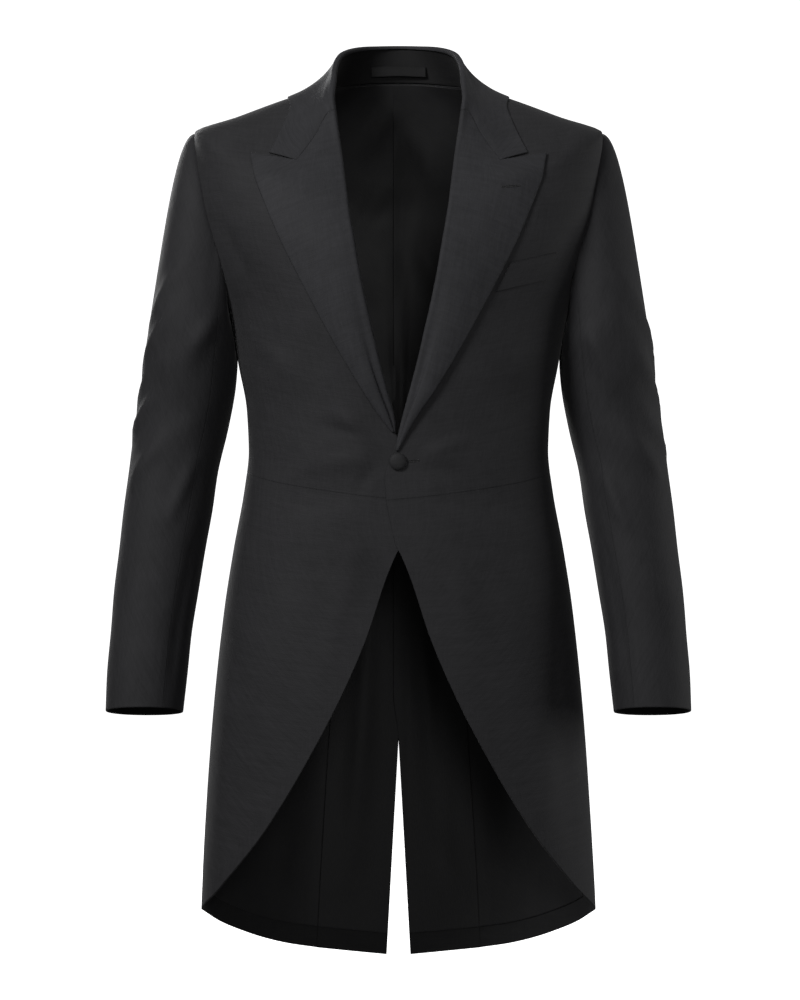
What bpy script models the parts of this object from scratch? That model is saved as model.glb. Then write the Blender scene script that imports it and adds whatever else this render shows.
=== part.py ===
"""A morning coat, hollow and filled out as if worn.

Metres, +Z up. The coat's front faces -Y and the wearer's left is +X. The origin is the middle of the
neck base, at the height where the shoulder seams meet the neck. Every panel is a thin closed sheet
laid on one shared body shape, so neighbouring panels meet at their seams.
"""

import math

import bpy
import numpy as np

# Cloth thicknesses and seam gaps
CLOTH = 0.0020
LINING = 0.0009
SEAM = 0.0002
LAYER_GAP = 0.0004
ROLL_RADIUS = 0.0034
UNDERLAP = 0.0030
TURN_UP = 0.024
POWER = 2.3
SIDE_SEAM = 78.0

# Body shape. Columns: height of the side line, half width, depth of the side line, depth of the front,
# depth of the back, height of the front and of the back above the side line.
SECTIONS = np.array([
    (-1.020, 0.2230, 0.012, -0.122, 0.152, 0.000, 0.000),
    (-0.924, 0.2201, 0.012, -0.125, 0.148, 0.000, 0.000),
    (-0.795, 0.2128, 0.010, -0.127, 0.142, 0.000, 0.000),
    (-0.706, 0.2061, 0.008, -0.129, 0.135, 0.000, 0.000),
    (-0.594, 0.1943, 0.005, -0.130, 0.122, 0.000, 0.000),
    (-0.526, 0.1837, 0.003, -0.130, 0.111, 0.000, 0.000),
    (-0.459, 0.1714, 0.001, -0.129, 0.099, 0.000, 0.000),
    (-0.414, 0.1663, 0.000, -0.128, 0.095, 0.000, 0.000),
    (-0.370, 0.1686, -0.001, -0.130, 0.098, 0.000, 0.000),
    (-0.325, 0.1764, -0.002, -0.133, 0.104, 0.000, 0.000),
    (-0.268, 0.1870, -0.001, -0.136, 0.112, 0.000, 0.000),
    (-0.200, 0.2105, 0.003, -0.135, 0.117, -0.022, -0.008),
    (-0.130, 0.2255, 0.007, -0.130, 0.118, -0.058, -0.024),
    (-0.060, 0.2280, 0.010, -0.116, 0.110, -0.090, -0.040),
    (-0.0415, 0.1800, 0.012, -0.100, 0.102, -0.088, -0.022),
    (-0.0225, 0.1300, 0.015, -0.080, 0.092, -0.085, -0.006),
    (-0.0050, 0.0780, 0.020, -0.055, 0.080, -0.080, 0.0095),
])
NECK_LEVEL = -0.005

# Front edge below the lapel: distance past the centre and height
FRONT_EDGE = [(-0.0133, -0.471), (-0.0140, -0.442)]

# Lapel rows, bottom to top. Columns: roll edge x and z, how far the roll stands before the body,
# outer edge x and z, how far the roll is turned over, how far the outer edge lifts.
LAPEL_ROWS = np.array([
    (-0.0045, -0.4135, 0.000, 0.0020, -0.4135, 0.00, 0.0000),
    (0.0000, -0.4022, 0.000, 0.0075, -0.4022, 0.35, 0.0010),
    (0.0038, -0.3838, 0.000, 0.0171, -0.3838, 0.70, 0.0030),
    (0.0119, -0.3513, 0.000, 0.0385, -0.3513, 1.00, 0.0040),
    (0.0206, -0.3188, 0.000, 0.0580, -0.3188, 1.00, 0.0025),
    (0.0282, -0.2863, 0.000, 0.0765, -0.2863, 1.00, 0.0010),
    (0.0357, -0.2538, 0.000, 0.0938, -0.2538, 1.00, 0.0004),
    (0.0422, -0.2213, 0.000, 0.1107, -0.2213, 1.00, 0.0004),
    (0.0477, -0.1887, 0.001, 0.1272, -0.1887, 1.00, 0.0004),
    (0.0535, -0.1560, 0.003, 0.1415, -0.1560, 1.00, 0.0004),
    (0.0580, -0.1213, 0.006, 0.1553, -0.1213, 1.00, 0.0004),
    (0.0625, -0.0864, 0.011, 0.1582, -0.1105, 1.00, 0.0004),
    (0.0665, -0.0600, 0.017, 0.1608, -0.0998, 1.00, 0.0004),
    (0.0687, -0.0417, 0.022, 0.1630, -0.0905, 1.00, 0.0004),
])
ROLL_TOP = (0.0710, -0.0245, 0.027)
LAPEL_BEND = [0, 0, 0, 0, 0, 0, 0, 0, 0, 0, 0.20, 0.45, 0.80, 1.0]
LAPEL_ACROSS = [0.27, 0.52, 0.76, 1.0]
# Top edge of the lapel past the roll: gorge middle, notch corner, peak edge middle, peak tip
GORGE = [(0.0920, -0.0723), (0.1114, -0.1003), (0.1370, -0.0955), (0.1630, -0.0905)]
# Front end of the collar leaf: gorge middle, notch corner, notch edge middle, collar tip
LEAF_END = [(0.0920, -0.0723), (0.1114, -0.1003), (0.1270, -0.0950), (0.1421, -0.0903)]

# Collar stations from the lapel to the centre back. Columns: top of the stand x, y, z; place of the
# neck seam round the neck in degrees; outer edge of the leaf x and z; 1 where that edge is at the back.
COLLAR = np.array([
    (0.0720, -0.0470, -0.0245, 62.0, 0.1335, -0.0720, 0),
    (0.0722, -0.0340, -0.0060, 70.0, 0.1255, -0.0525, 0),
    (0.0715, -0.0180, 0.0080, 80.0, 0.1200, -0.0353, 0),
    (0.0690, 0.0020, 0.0205, 91.0, 0.1235, -0.0215, 0),
    (0.0600, 0.0290, 0.0330, 108.0, 0.1165, -0.0245, 1),
    (0.0440, 0.0540, 0.0400, 130.0, 0.0900, -0.0200, 1),
    (0.0220, 0.0715, 0.0433, 156.0, 0.0470, -0.0105, 1),
    (0.0000, 0.0770, 0.0443, 180.0, 0.0000, -0.0065, 1),
])

# Armhole. The front is x and z as seen from the front; the rest is degrees round the body and level.
ARMHOLE_FRONT = [(0.1895, -0.236), (0.1950, -0.212), (0.2025, -0.186), (0.2080, -0.167),
                 (0.2155, -0.136), (0.2245, -0.090)]
ARMHOLE_BACK = [(98.0, -0.085), (106.0, -0.115), (112.0, -0.145), (115.5, -0.178)]
ARMHOLE_UNDER = [(114.0, -0.205), (108.0, -0.235), (99.0, -0.260), (90.0, -0.270), (83.0, -0.262)]
ARMHOLE_CORNER = (SIDE_SEAM, -0.250)
SHOULDER_POINT = (90.0, -0.060)
SHOULDER_SEAM = [(90.0, -0.0415), (90.0, -0.0225), (90.0, NECK_LEVEL)]
SIDE_LEVELS = [-0.440, -0.410, -0.380, -0.350, -0.320, -0.285]
WAIST_LEVEL = -0.440
BACK_SEAM = [(0.0575, -0.415), (0.0675, -0.385), (0.0830, -0.352), (0.1050, -0.308),
             (0.1310, -0.262), (0.1580, -0.222), (0.1860, -0.190)]
BACK_WAIST_X = 0.055
CENTRE_LEVELS = [-0.415, -0.385, -0.352, -0.308, -0.262, -0.222, -0.190, -0.170, -0.140, -0.110,
                 -0.083, -0.060, -0.0415, -0.0225, NECK_LEVEL]

# Skirt hem from the front edge to the side, x and z from the front, then to the pleat from the back
SKIRT_FRONT_HEM = [(-0.0020, -0.5215), (0.0137, -0.557), (0.0356, -0.623), (0.0640, -0.688),
                   (0.0970, -0.751), (0.1246, -0.799), (0.1530, -0.843), (0.1810, -0.879),
                   (0.2030, -0.906), (0.2190, -0.9265)]
SKIRT_BACK_HEM = [(0.2150, -0.9400), (0.2020, -0.9520), (0.1830, -0.9630), (0.1580, -0.9740),
                  (0.1280, -0.9830), (0.0950, -0.9890)]
BACK_HEM_LEVEL = -0.998
VENT_TOP = -0.745
VENT_SPREAD = 0.014

# Sleeve stations. Columns: centre x, y, z, half width, half depth.
SLEEVE = np.array([
    (0.2310, 0.000, -0.302, 0.0510, 0.0660),
    (0.2358, 0.006, -0.347, 0.0520, 0.0640),
    (0.2440, 0.010, -0.392, 0.0516, 0.0615),
    (0.2520, 0.006, -0.437, 0.0490, 0.0590),
    (0.2580, 0.000, -0.482, 0.0487, 0.0570),
    (0.2640, -0.007, -0.526, 0.0470, 0.0550),
    (0.2700, -0.015, -0.571, 0.0460, 0.0530),
    (0.2750, -0.022, -0.616, 0.0440, 0.0510),
    (0.2790, -0.029, -0.661, 0.0437, 0.0490),
    (0.2820, -0.035, -0.705, 0.0420, 0.0475),
])
CAP_STEPS = [0.0, 0.07, 0.18, 0.32, 0.50, 0.70, 0.86]
FOREARM_PITCH = math.tan(math.radians(8.7))
SLEEVE_FRONT_SEAM = 4
SLEEVE_BACK_SEAM = 14

# Folds. Columns: side of the coat (0 is both), 1 on the back, ends as x and z, width, height.
FOLDS = np.array([
    (0, 0, 0.020, -0.440, 0.150, -0.400, 0.022, 0.0018),
    (0, 0, 0.030, -0.455, 0.140, -0.475, 0.018, -0.0015),
    (1, 0, 0.100, -0.330, 0.170, -0.290, 0.024, 0.0020),
    (-1, 0, 0.095, -0.345, 0.165, -0.315, 0.022, 0.0018),
    (0, 0, 0.185, -0.205, 0.130, -0.270, 0.022, -0.0020),
    (1, 0, 0.120, -0.520, 0.160, -0.840, 0.028, 0.0030),
    (-1, 0, 0.110, -0.510, 0.175, -0.850, 0.030, 0.0026),
    (0, 1, 0.060, -0.520, 0.110, -0.960, 0.026, 0.0035),
    (1, 1, 0.130, -0.520, 0.170, -0.930, 0.030, 0.0030),
    (-1, 1, 0.140, -0.500, 0.185, -0.920, 0.030, -0.0026),
    (0, 1, 0.020, -0.410, 0.120, -0.380, 0.022, 0.0022),
    (1, 1, 0.020, -0.100, 0.150, -0.160, 0.030, 0.0020),
    (-1, 1, 0.030, -0.120, 0.160, -0.150, 0.030, 0.0018),
])
# Sleeve folds. Columns: side (0 is both), start and end as degrees round the sleeve and height, width
# in metres, height of the fold.
SLEEVE_FOLDS = np.array([
    (0, 120.0, -0.240, 60.0, -0.300, 0.020, 0.0030),
    (1, 150.0, -0.285, 90.0, -0.350, 0.018, 0.0028),
    (-1, 140.0, -0.300, 75.0, -0.365, 0.018, 0.0028),
    (0, 60.0, -0.375, 120.0, -0.420, 0.018, 0.0026),
    (1, 50.0, -0.420, 110.0, -0.455, 0.016, -0.0020),
    (0, 240.0, -0.360, 300.0, -0.420, 0.022, 0.0026),
    (-1, 220.0, -0.420, 290.0, -0.450, 0.020, 0.0022),
    (1, 90.0, -0.560, 160.0, -0.600, 0.024, 0.0016),
])

BUTTON_X = -0.0005
BUTTON_Z = -0.4287
BUTTON_RADIUS = 0.0097
BUTTON_HEIGHT = 0.0052
WELT_CORNERS = [(0.1055, -0.2442), (0.1625, -0.2300), (0.1745, -0.1990), (0.1215, -0.2127)]
LOOP_HALF = 0.031
LOOP_LOW = 0.0120
LOOP_HIGH = 0.0235

# Colours of the slots: base colour and roughness
SLOTS = {
    "wool": ((0.030, 0.030, 0.033, 1.0), 0.85),
    "satin": ((0.010, 0.010, 0.011, 1.0), 0.55),
    "button_cloth": ((0.014, 0.014, 0.016, 1.0), 0.70),
}


def clear_scene():
    """Start from nothing."""
    for item in list(bpy.data.objects):
        bpy.data.objects.remove(item, do_unlink=True)


def material_for(node, slot):
    """A plain material of its own for one node."""
    colour, roughness = SLOTS[slot]
    made = bpy.data.materials.new(f"{node}_{slot}")
    made.use_nodes = True
    shader = made.node_tree.nodes["Principled BSDF"]
    shader.inputs["Base Color"].default_value = colour
    shader.inputs["Roughness"].default_value = roughness
    made.diffuse_color = colour
    return made


def smooth_slopes(table):
    """Slopes that never overshoot, for each column of a table against its first."""
    step = np.diff(table[:, 0])[:, None]
    rise = np.diff(table[:, 1:], axis=0) / step
    product = rise[:-1] * rise[1:]
    total = np.where(product > 0, rise[:-1] + rise[1:], 1.0)
    middle = np.where(product > 0, 2 * product / total, 0.0)
    return np.vstack([rise[:1], middle, rise[-1:]])


SLOPES = smooth_slopes(SECTIONS)


def section_at(level):
    """The body shape's columns at any level."""
    place = SECTIONS[:, 0]
    index = np.clip(np.searchsorted(place, level) - 1, 0, len(place) - 2)
    span = place[index + 1] - place[index]
    t = np.clip((level - place[index]) / span, -0.5, 1.5)[..., None]
    span = span[..., None]
    low = SECTIONS[index, 1:]
    high = SECTIONS[index + 1, 1:]
    return (low * (1 + 2 * t) * (1 - t) ** 2 + SLOPES[index] * span * t * (1 - t) ** 2
            + high * t * t * (3 - 2 * t) + SLOPES[index + 1] * span * t * t * (t - 1))


def form(phi, level):
    """Body shape: phi is 0 at the front centre, 90 at the side and 180 at the back centre."""
    phi = np.asarray(phi, float)
    level = np.asarray(level, float)
    half, side_y, front_y, back_y, front_z, back_z = np.moveaxis(section_at(level), -1, 0)
    sine = np.sin(np.radians(phi))
    cosine = np.cos(np.radians(phi))
    x = half * np.sign(sine) * np.abs(sine) ** (2 / POWER)
    reach = np.where(cosine > 0, front_y - side_y, back_y - side_y)
    y = side_y + reach * np.abs(cosine) ** (2 / POWER)
    z = level + np.where(cosine > 0, front_z, back_z) * cosine ** 2
    return np.stack([x, y, z], -1)


def phi_at(x, level, back=False):
    """Degrees round the body of a point with this x on this level."""
    half = section_at(np.asarray(level, float))[..., 0]
    share = np.clip(abs(x) / half, 0.0, 1.0) ** (POWER / 2)
    turn = math.copysign(math.degrees(math.asin(share)), x)
    return 180 - turn if back else turn


def locate(x, z, back=False):
    """Place on the body shape of a point seen from the front or the back."""
    low, high = -1.02, NECK_LEVEL
    for _ in range(40):
        level = (low + high) / 2
        if form(phi_at(x, level, back), level)[2] < z:
            low = level
        else:
            high = level
    return phi_at(x, level, back), level


ROLL = [locate(row[0] + 0.0034 * row[5], row[1]) for row in LAPEL_ROWS]
ROLL.append(locate(ROLL_TOP[0] + 0.0030, ROLL_TOP[1]))
ROLL_LEVELS = np.array([place[1] for place in ROLL])
ROLL_PHI = np.array([place[0] for place in ROLL])
ROLL_STAND = np.append(LAPEL_ROWS[:, 2], ROLL_TOP[2])


def smooth_step(t):
    t = np.clip(t, 0.0, 1.0)
    return t * t * (3 - 2 * t)


def body(phi, level, side):
    """Body shape with the roll standing off the chest and the right front under the left."""
    phi = np.asarray(phi, float)
    level = np.asarray(level, float)
    point = form(phi, level)
    stand = np.interp(level, ROLL_LEVELS, ROLL_STAND)
    start = np.interp(level, ROLL_LEVELS, ROLL_PHI)
    share = np.clip((90 - phi) / (90 - start), 0.0, 1.0)
    point[..., 1] -= stand * share ** 2
    if side < 0:
        near = smooth_step((0.060 - point[..., 0]) / 0.045)
        window = smooth_step((-0.325 - level) / 0.060) * smooth_step((level + 0.640) / 0.090)
        front = np.cos(np.radians(phi)) > 0
        point[..., 1] += np.where(front, UNDERLAP * near * window, 0.0)
    return point


def facing(phi, level, side):
    """Outward direction of the body shape."""
    level = np.clip(np.asarray(level, float), -1.0, NECK_LEVEL - 0.0006)
    round_step = body(phi + 0.4, level, side) - body(phi - 0.4, level, side)
    up_step = body(phi, level + 0.0005, side) - body(phi, level - 0.0005, side)
    out = np.cross(round_step, up_step)
    out = out / np.linalg.norm(out, axis=-1, keepdims=True)
    return out * np.where(np.sum(out * (form(phi, level) - (0, 0.01, -0.3)) * (1, 1, 0), -1) < 0, -1, 1)[..., None]


def fold_height(points, phi, side):
    """Height of the soft folds at points of the body."""
    total = np.zeros(points.shape[:-1])
    at_back = np.asarray(phi) > 90
    for who, back, x0, z0, x1, z1, width, height in FOLDS:
        if who not in (0, side):
            continue
        line = np.array([x1 - x0, z1 - z0])
        seen = points[..., [0, 2]] - (x0, z0)
        along = np.clip(seen @ line / (line @ line), 0, 1)
        away = np.linalg.norm(seen - along[..., None] * line, axis=-1)
        taper = 0.35 + 0.65 * np.sin(np.pi * along)
        total += np.where(at_back == bool(back), height * taper * np.exp(-(away / width) ** 2), 0)
    return total


def laid(places, side, lift=0.0, folded=True):
    """Points on the coat's cloth, lifted along its outward direction, and those directions."""
    places = np.asarray(places, float)
    phi, level = places[..., 0], places[..., 1]
    point = body(phi, level, side)
    out = facing(phi, level, side)
    rise = fold_height(point, phi, side) if folded else 0.0
    edge = smooth_step((phi - 4) / 16) if folded else 1.0
    return point + out * (lift + rise * edge)[..., None] if np.ndim(rise) else point + out * lift, out


def ruled(start, end, across):
    """Places between two boundary lines, row by row."""
    start = np.asarray(start, float)[:, None, :]
    end = np.asarray(end, float)[:, None, :]
    share = np.asarray(across, float)[None, :, None]
    return start * (1 - share) + end * share


def between(bottom, top, left, right):
    """Places inside four boundary lines that share their corners."""
    bottom, top, left, right = (np.asarray(line, float) for line in (bottom, top, left, right))
    u = np.linspace(0, 1, len(bottom))[None, :, None]
    v = np.linspace(0, 1, len(left))[:, None, None]
    sides = left[:, None] * (1 - u) + right[:, None] * u
    ends = bottom[None] * (1 - v) + top[None] * v
    corners = ((bottom[0] * (1 - u) + bottom[-1] * u) * (1 - v)
               + (top[0] * (1 - u) + top[-1] * u) * v)
    return sides + ends - corners


def pull_in(grid, gap, edges="nsew"):
    """Move the grid's chosen edges inwards so that a seam gap stays between panels."""
    grid = grid.copy()
    for edge, rim, inner in (("s", grid[0], grid[1]), ("n", grid[-1], grid[-2]),
                             ("w", grid[:, 0], grid[:, 1]), ("e", grid[:, -1], grid[:, -2])):
        if edge not in edges:
            continue
        along = np.gradient(rim, axis=0)
        along /= np.linalg.norm(along, axis=-1, keepdims=True)
        inward = inner - rim
        inward -= np.sum(inward * along, -1, keepdims=True) * along
        inward /= np.linalg.norm(inward, axis=-1, keepdims=True)
        rim += inward * gap
    return grid


def grid_facing(grid):
    """Directions square to a grid's surface, all to the same side."""
    along = np.gradient(grid, axis=1)
    up = np.gradient(grid, axis=0)
    out = np.cross(along, up)
    return out / np.linalg.norm(out, axis=-1, keepdims=True)


def mirrored(grid, side):
    return grid * (side, 1, 1)


def add_sheet(node, middle, out, thickness, slot):
    """One closed sheet of cloth about a grid of middle points."""
    rows, columns = middle.shape[:2]
    outer = (middle + out * thickness / 2).reshape(-1, 3)
    inner = (middle - out * thickness / 2).reshape(-1, 3)
    count = rows * columns
    faces = []
    for i in range(rows - 1):
        for j in range(columns - 1):
            k = j + 1
            a, b, c, d = i * columns + j, i * columns + k, (i + 1) * columns + k, (i + 1) * columns + j
            faces += [(a, b, c), (a, c, d)]
            faces += [(count + c, count + b, count + a), (count + d, count + c, count + a)]
    rim = [j for j in range(columns)]
    rim += [i * columns + columns - 1 for i in range(1, rows)]
    rim += [(rows - 1) * columns + j for j in range(columns - 2, -1, -1)]
    rim += [i * columns for i in range(rows - 2, 0, -1)]
    for a, b in zip(rim, rim[1:] + rim[:1]):
        faces += [(b, a, count + a), (b, count + a, count + b)]
    return add_mesh(node, np.vstack([outer, inner]), faces, slot)


def add_mesh(node, points, faces, slot):
    """A mesh object that faces outwards."""
    mesh = bpy.data.meshes.new(node)
    mesh.from_pydata([tuple(p) for p in points], [], faces)
    mesh.update()
    mesh.calc_loop_triangles()
    volume = 0.0
    for triangle in mesh.loop_triangles:
        a, b, c = (points[i] for i in triangle.vertices)
        volume += float(np.dot(a, np.cross(b, c)))
    if volume < 0:
        mesh.flip_normals()
    mesh.materials.append(material_for(node, slot))
    made = bpy.data.objects.new(node, mesh)
    bpy.context.scene.collection.objects.link(made)
    return made


def side_name(side):
    """The wearer's side: left is at +X."""
    return "left" if side > 0 else "right"


# Boundary lines shared by neighbouring panels
SIDE_LINE = [(SIDE_SEAM, level) for level in SIDE_LEVELS] + [ARMHOLE_CORNER]
ARMHOLE_FRONT_LINE = [locate(x, z) for x, z in ARMHOLE_FRONT]
BACK_SEAM_LINE = [locate(x, z, True) for x, z in BACK_SEAM]
WAIST_PHI = 180 - math.degrees(math.asin((BACK_WAIST_X / 0.1690) ** (POWER / 2)))
FRONT_COLUMNS = np.linspace(0, 1, 10)
SIDE_COLUMNS = 6
SKIRT_STEPS = 9


def front_places():
    start = [locate(x, z) for x, z in FRONT_EDGE] + ROLL
    end = SIDE_LINE + ARMHOLE_FRONT_LINE + [SHOULDER_POINT] + SHOULDER_SEAM
    return ruled(start, end, FRONT_COLUMNS)


def side_places():
    seam = [(WAIST_PHI, WAIST_LEVEL)] + BACK_SEAM_LINE + [ARMHOLE_BACK[-1]]
    left = [(SIDE_SEAM, z) for z in np.linspace(WAIST_LEVEL, ARMHOLE_CORNER[1], len(seam))]
    top = [ARMHOLE_CORNER] + ARMHOLE_UNDER[::-1] + [ARMHOLE_BACK[-1]]
    share = np.linspace(0, 1, SIDE_COLUMNS + 1)
    bottom = [(SIDE_SEAM + (WAIST_PHI - SIDE_SEAM) * t, WAIST_LEVEL) for t in share]
    return between(bottom, top, left, seam)


def skirt_places():
    """Columns from the waist seam down to the hem, with one row at the hem's turn-up."""
    top = np.vstack([front_places()[0], side_places()[0][1:]])
    hem = [locate(x, z) for x, z in SKIRT_FRONT_HEM] + [locate(x, z, True) for x, z in SKIRT_BACK_HEM]
    hem = np.array(hem)
    length = np.linalg.norm(form(hem[:, 0], hem[:, 1]) - form(top[:, 0], top[:, 1]), axis=-1)
    turn = 1 - TURN_UP / length
    steps = np.linspace(0, 1, SKIRT_STEPS + 1)[:, None] * turn[None]
    steps = np.vstack([steps, np.ones(len(turn))])[..., None]
    return top[None] * (1 - steps) + hem[None] * steps


def back_places():
    pleat = skirt_places()[::-1, -1]
    start = [tuple(p) for p in pleat] + BACK_SEAM_LINE + ARMHOLE_BACK[::-1]
    start += [SHOULDER_POINT] + SHOULDER_SEAM
    low = np.interp(pleat[:, 1], [pleat[0, 1], WAIST_LEVEL], [BACK_HEM_LEVEL, WAIST_LEVEL])
    centre = []
    for level in list(low) + CENTRE_LEVELS:
        spread = VENT_SPREAD * max(0.0, (VENT_TOP - level) / (VENT_TOP - BACK_HEM_LEVEL))
        centre.append((phi_at(max(spread, 1e-6), level, True), level))
    return ruled(start, centre, np.linspace(0, 1, 8))


def add_panels(side):
    """Front, side body, skirt and back of one side, and the linings that show."""
    name = side_name(side)
    for node, places in (("front", front_places()), ("side_body", side_places()),
                         ("skirt", skirt_places()), ("back", back_places())):
        middle, out = laid(places, side)
        edges = "nsew" if node != "skirt" else "new"
        gapped = pull_in(middle[::-1] if node == "skirt" else middle, SEAM, edges)
        gapped = gapped[::-1] if node == "skirt" else gapped
        add_sheet(f"{node}_{name}", mirrored(gapped, side), mirrored(out, side), CLOTH, "wool")
    inward = -(CLOTH / 2 + LAYER_GAP + LINING / 2)
    for node, places in (("lining_back", back_places()[1:]), ("lining_skirt", skirt_places()[:-1, 1:])):
        middle, out = laid(places, side)
        middle = pull_in(middle + out * inward, 0.0006)
        add_sheet(f"{node}_{name}", mirrored(middle, side), mirrored(out, side), LINING, "satin")


def unit(vector):
    return vector / np.linalg.norm(vector, axis=-1, keepdims=True)


def roll_over(edge, across, out, turned):
    """Points and directions of cloth that turns over an edge, from behind it to its front."""
    points, directions = [], []
    for j in range(3):
        turn = math.radians(90 - (180 - 60 * j) * turned)
        ray = out * math.sin(turn) - across * math.cos(turn)
        points.append(edge + ray * ROLL_RADIUS + across * 0.0007 * j * (1 - turned))
        directions.append(ray)
    points.append(edge + out * ROLL_RADIUS + across * (0.0022 + 0.002 * turned))
    directions.append(out)
    return points, directions


def roll_frame(edge, tangent, out):
    across = unit(np.cross(tangent, out))
    return across * (1 if across[0] > 0 else -1)


def lapel_spine(side):
    """Front edge of the front panel beside the lapel, with its frame."""
    places = np.array(ROLL)
    edge, out = laid(places, side)
    tangent = unit(np.gradient(edge, axis=0))
    across = np.array([roll_frame(e, t, o) for e, t, o in zip(edge, tangent, out)])
    return edge, across, out


def add_lapel(side):
    """Lapel turned over the front's edge, from the button to the gorge and the peak."""
    edge, across, out = lapel_spine(side)
    first = 0 if side > 0 else 1
    top_start = np.array([LAPEL_ROWS[-1, 0] + 0.0034, LAPEL_ROWS[-1, 1]])
    top_end = np.array(GORGE[-1])
    rows, directions = [], []
    for k in range(first, len(LAPEL_ROWS)):
        x, z, _, outer_x, outer_z, turned, lift = LAPEL_ROWS[k]
        points, faces = roll_over(edge[k], across[k], out[k], turned)
        start = np.array([x + 0.0034 * turned, z])
        end = np.array([outer_x, outer_z])
        bulge = 0.0012 + 0.0025 * math.exp(-((k - 4) / 3) ** 2)
        for share, corner in zip(LAPEL_ACROSS, GORGE):
            flat = start * (1 - share) + end * share
            bend = np.array(corner) - top_start * (1 - share) - top_end * share
            place = locate(*(flat + bend * LAPEL_BEND[k]))
            rise = ROLL_RADIUS + 0.0004 + lift * share ** 2 + bulge * math.sin(math.pi * share)
            point, face = laid(place, side, folded=False)
            points.append(point + face * rise)
            faces.append(face)
        rows.append(points)
        directions.append(faces)
    if side < 0:
        rows[0] = list(np.array(rows[0]) * 0.7 + np.array(rows[1]) * 0.3)
        directions[0] = list(unit(np.array(directions[0]) * 0.7 + np.array(directions[1]) * 0.3))
    middle = pull_in(np.array(rows), 0.0003, "n")
    add_sheet(f"lapel_{side_name(side)}", mirrored(middle, side), mirrored(np.array(directions), side),
              CLOTH, "wool")


def neck_seam(phi):
    return body(np.asarray(phi, float), np.full(np.shape(phi), NECK_LEVEL), 1)


def collar_half():
    """Stand and leaf of the wearer's left half, station by station towards the centre back."""
    spine, across0, out0 = lapel_spine(1)
    seam = neck_seam(COLLAR[:, 3])
    top = COLLAR[:, :3].copy()
    top[0] = spine[-1] + (0, 0, 0.0012)
    seam[0] = spine[-1]
    line = np.vstack([spine[-2], top])
    tangent = unit(np.gradient(np.vstack([line, top[-2] * (-1, 1, 1)]), axis=0)[:-1])
    leaf, leaf_out, stand = [], [], []
    down = np.vstack([across0[-2], np.zeros((len(top), 3))])
    for k in range(len(top)):
        down[k + 1] = unit(seam[k] - top[k]) if k > 1 else down[k]
    down[2] = unit(down[1] * 0.6 + down[3] * 0.4)
    down[1] = across0[-2]
    for k in range(len(line)):
        sideways = down[k] - tangent[k] * np.dot(down[k], tangent[k])
        sideways = unit(sideways)
        out = unit(np.cross(tangent[k], sideways))
        centre = np.array([0.0, 0.02, line[k][2]])
        if np.dot(out, line[k] - centre) < 0:
            out = -out
        if k == 0:
            sideways, out = across0[-2], out0[-2]
        points, faces = roll_over(line[k], sideways, out, 1.0)
        if k == 0:
            for corner in LEAF_END:
                point, face = laid(locate(*corner), 1, folded=False)
                share = LAPEL_ACROSS[LEAF_END.index(corner)]
                rise = ROLL_RADIUS + 0.0008 + 0.0012 * math.sin(math.pi * share)
                points.append(point + face * rise)
                faces.append(face)
        else:
            x, z, back = COLLAR[k - 1, 4:]
            place = locate(x, z, bool(back)) if x > 0 else (180.0, locate(1e-6, z, True)[1])
            end, face = laid(place, 1, folded=False)
            end = end + face * (ROLL_RADIUS + 0.0030)
            start = points[-1]
            bend = start * 0.72 + end * 0.28
            bend[2] = start[2] * 0.30 + end[2] * 0.70
            bend = bend + face * 0.0030
            for t in LAPEL_ACROSS:
                points.append(start * (1 - t) ** 2 + bend * 2 * t * (1 - t) + end * t * t)
                faces.append(face if t == 1.0 else unit(out * (1 - t) + face * t))
        leaf.append(points)
        leaf_out.append(faces)
    for k in range(len(top)):
        share = np.array([0.0, 0.5, 1.0])[:, None]
        stand.append(seam[k] * (1 - share) + top[k] * share)
    return np.array(leaf), np.array(leaf_out), np.array(stand)


def both_halves(half):
    """A half that ends at the centre back, joined to its mirror image."""
    other = half[::-1][1:] * (-1, 1, 1)
    return np.concatenate([half, other])


def add_collar():
    leaf, leaf_out, stand = collar_half()
    leaf = both_halves(leaf)
    leaf_out = both_halves(leaf_out)
    middle = pull_in(leaf, 0.0003, "ns")
    add_sheet("collar_leaf", middle, leaf_out, CLOTH, "wool")
    stand = both_halves(stand)
    middle = pull_in(stand, CLOTH / 2 + 0.0004, "w")
    middle = pull_in(middle, 0.0006, "e")
    middle = pull_in(middle, 0.0010, "ns")
    out = grid_facing(middle)
    centre = len(out) // 2
    if out[centre, 0, 1] < 0:
        out = -out
    add_sheet("collar_stand", middle, out, CLOTH, "wool")
    loop_rows = []
    for height, z in ((0.0, LOOP_LOW), (1.0, LOOP_HIGH)):
        row = []
        for t in np.linspace(-1, 1, 9):
            x = LOOP_HALF * t
            y = 0.0800 - 0.0000 * height - 11.5 * x * x * 0.42
            row.append((x, y - 0.0056 - 0.0030 * (1 - t * t), z + 0.0006 * math.cos(3 * t)))
        loop_rows.append(row)
    loop = np.array(loop_rows)
    add_sheet("hanger_loop", loop, grid_facing(loop), 0.0012, "satin")


def armhole_ring():
    """Armhole points from underneath, round the front, over the shoulder and down the back."""
    places = [ARMHOLE_UNDER[3], ARMHOLE_UNDER[4], ARMHOLE_CORNER] + ARMHOLE_FRONT_LINE
    places += [SHOULDER_POINT] + ARMHOLE_BACK + ARMHOLE_UNDER[:3]
    return np.array(places, float)


def body_side_x(points):
    """Outside of the body beside a sleeve point."""
    half, side_y, front_y, back_y = np.moveaxis(section_at(points[..., 2]), -1, 0)[:4]
    reach = np.where(points[..., 1] < side_y, front_y - side_y, back_y - side_y)
    share = np.clip(np.abs((points[..., 1] - side_y) / reach), 0, 1)
    return half * (1 - share ** POWER) ** (1 / POWER)


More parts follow.
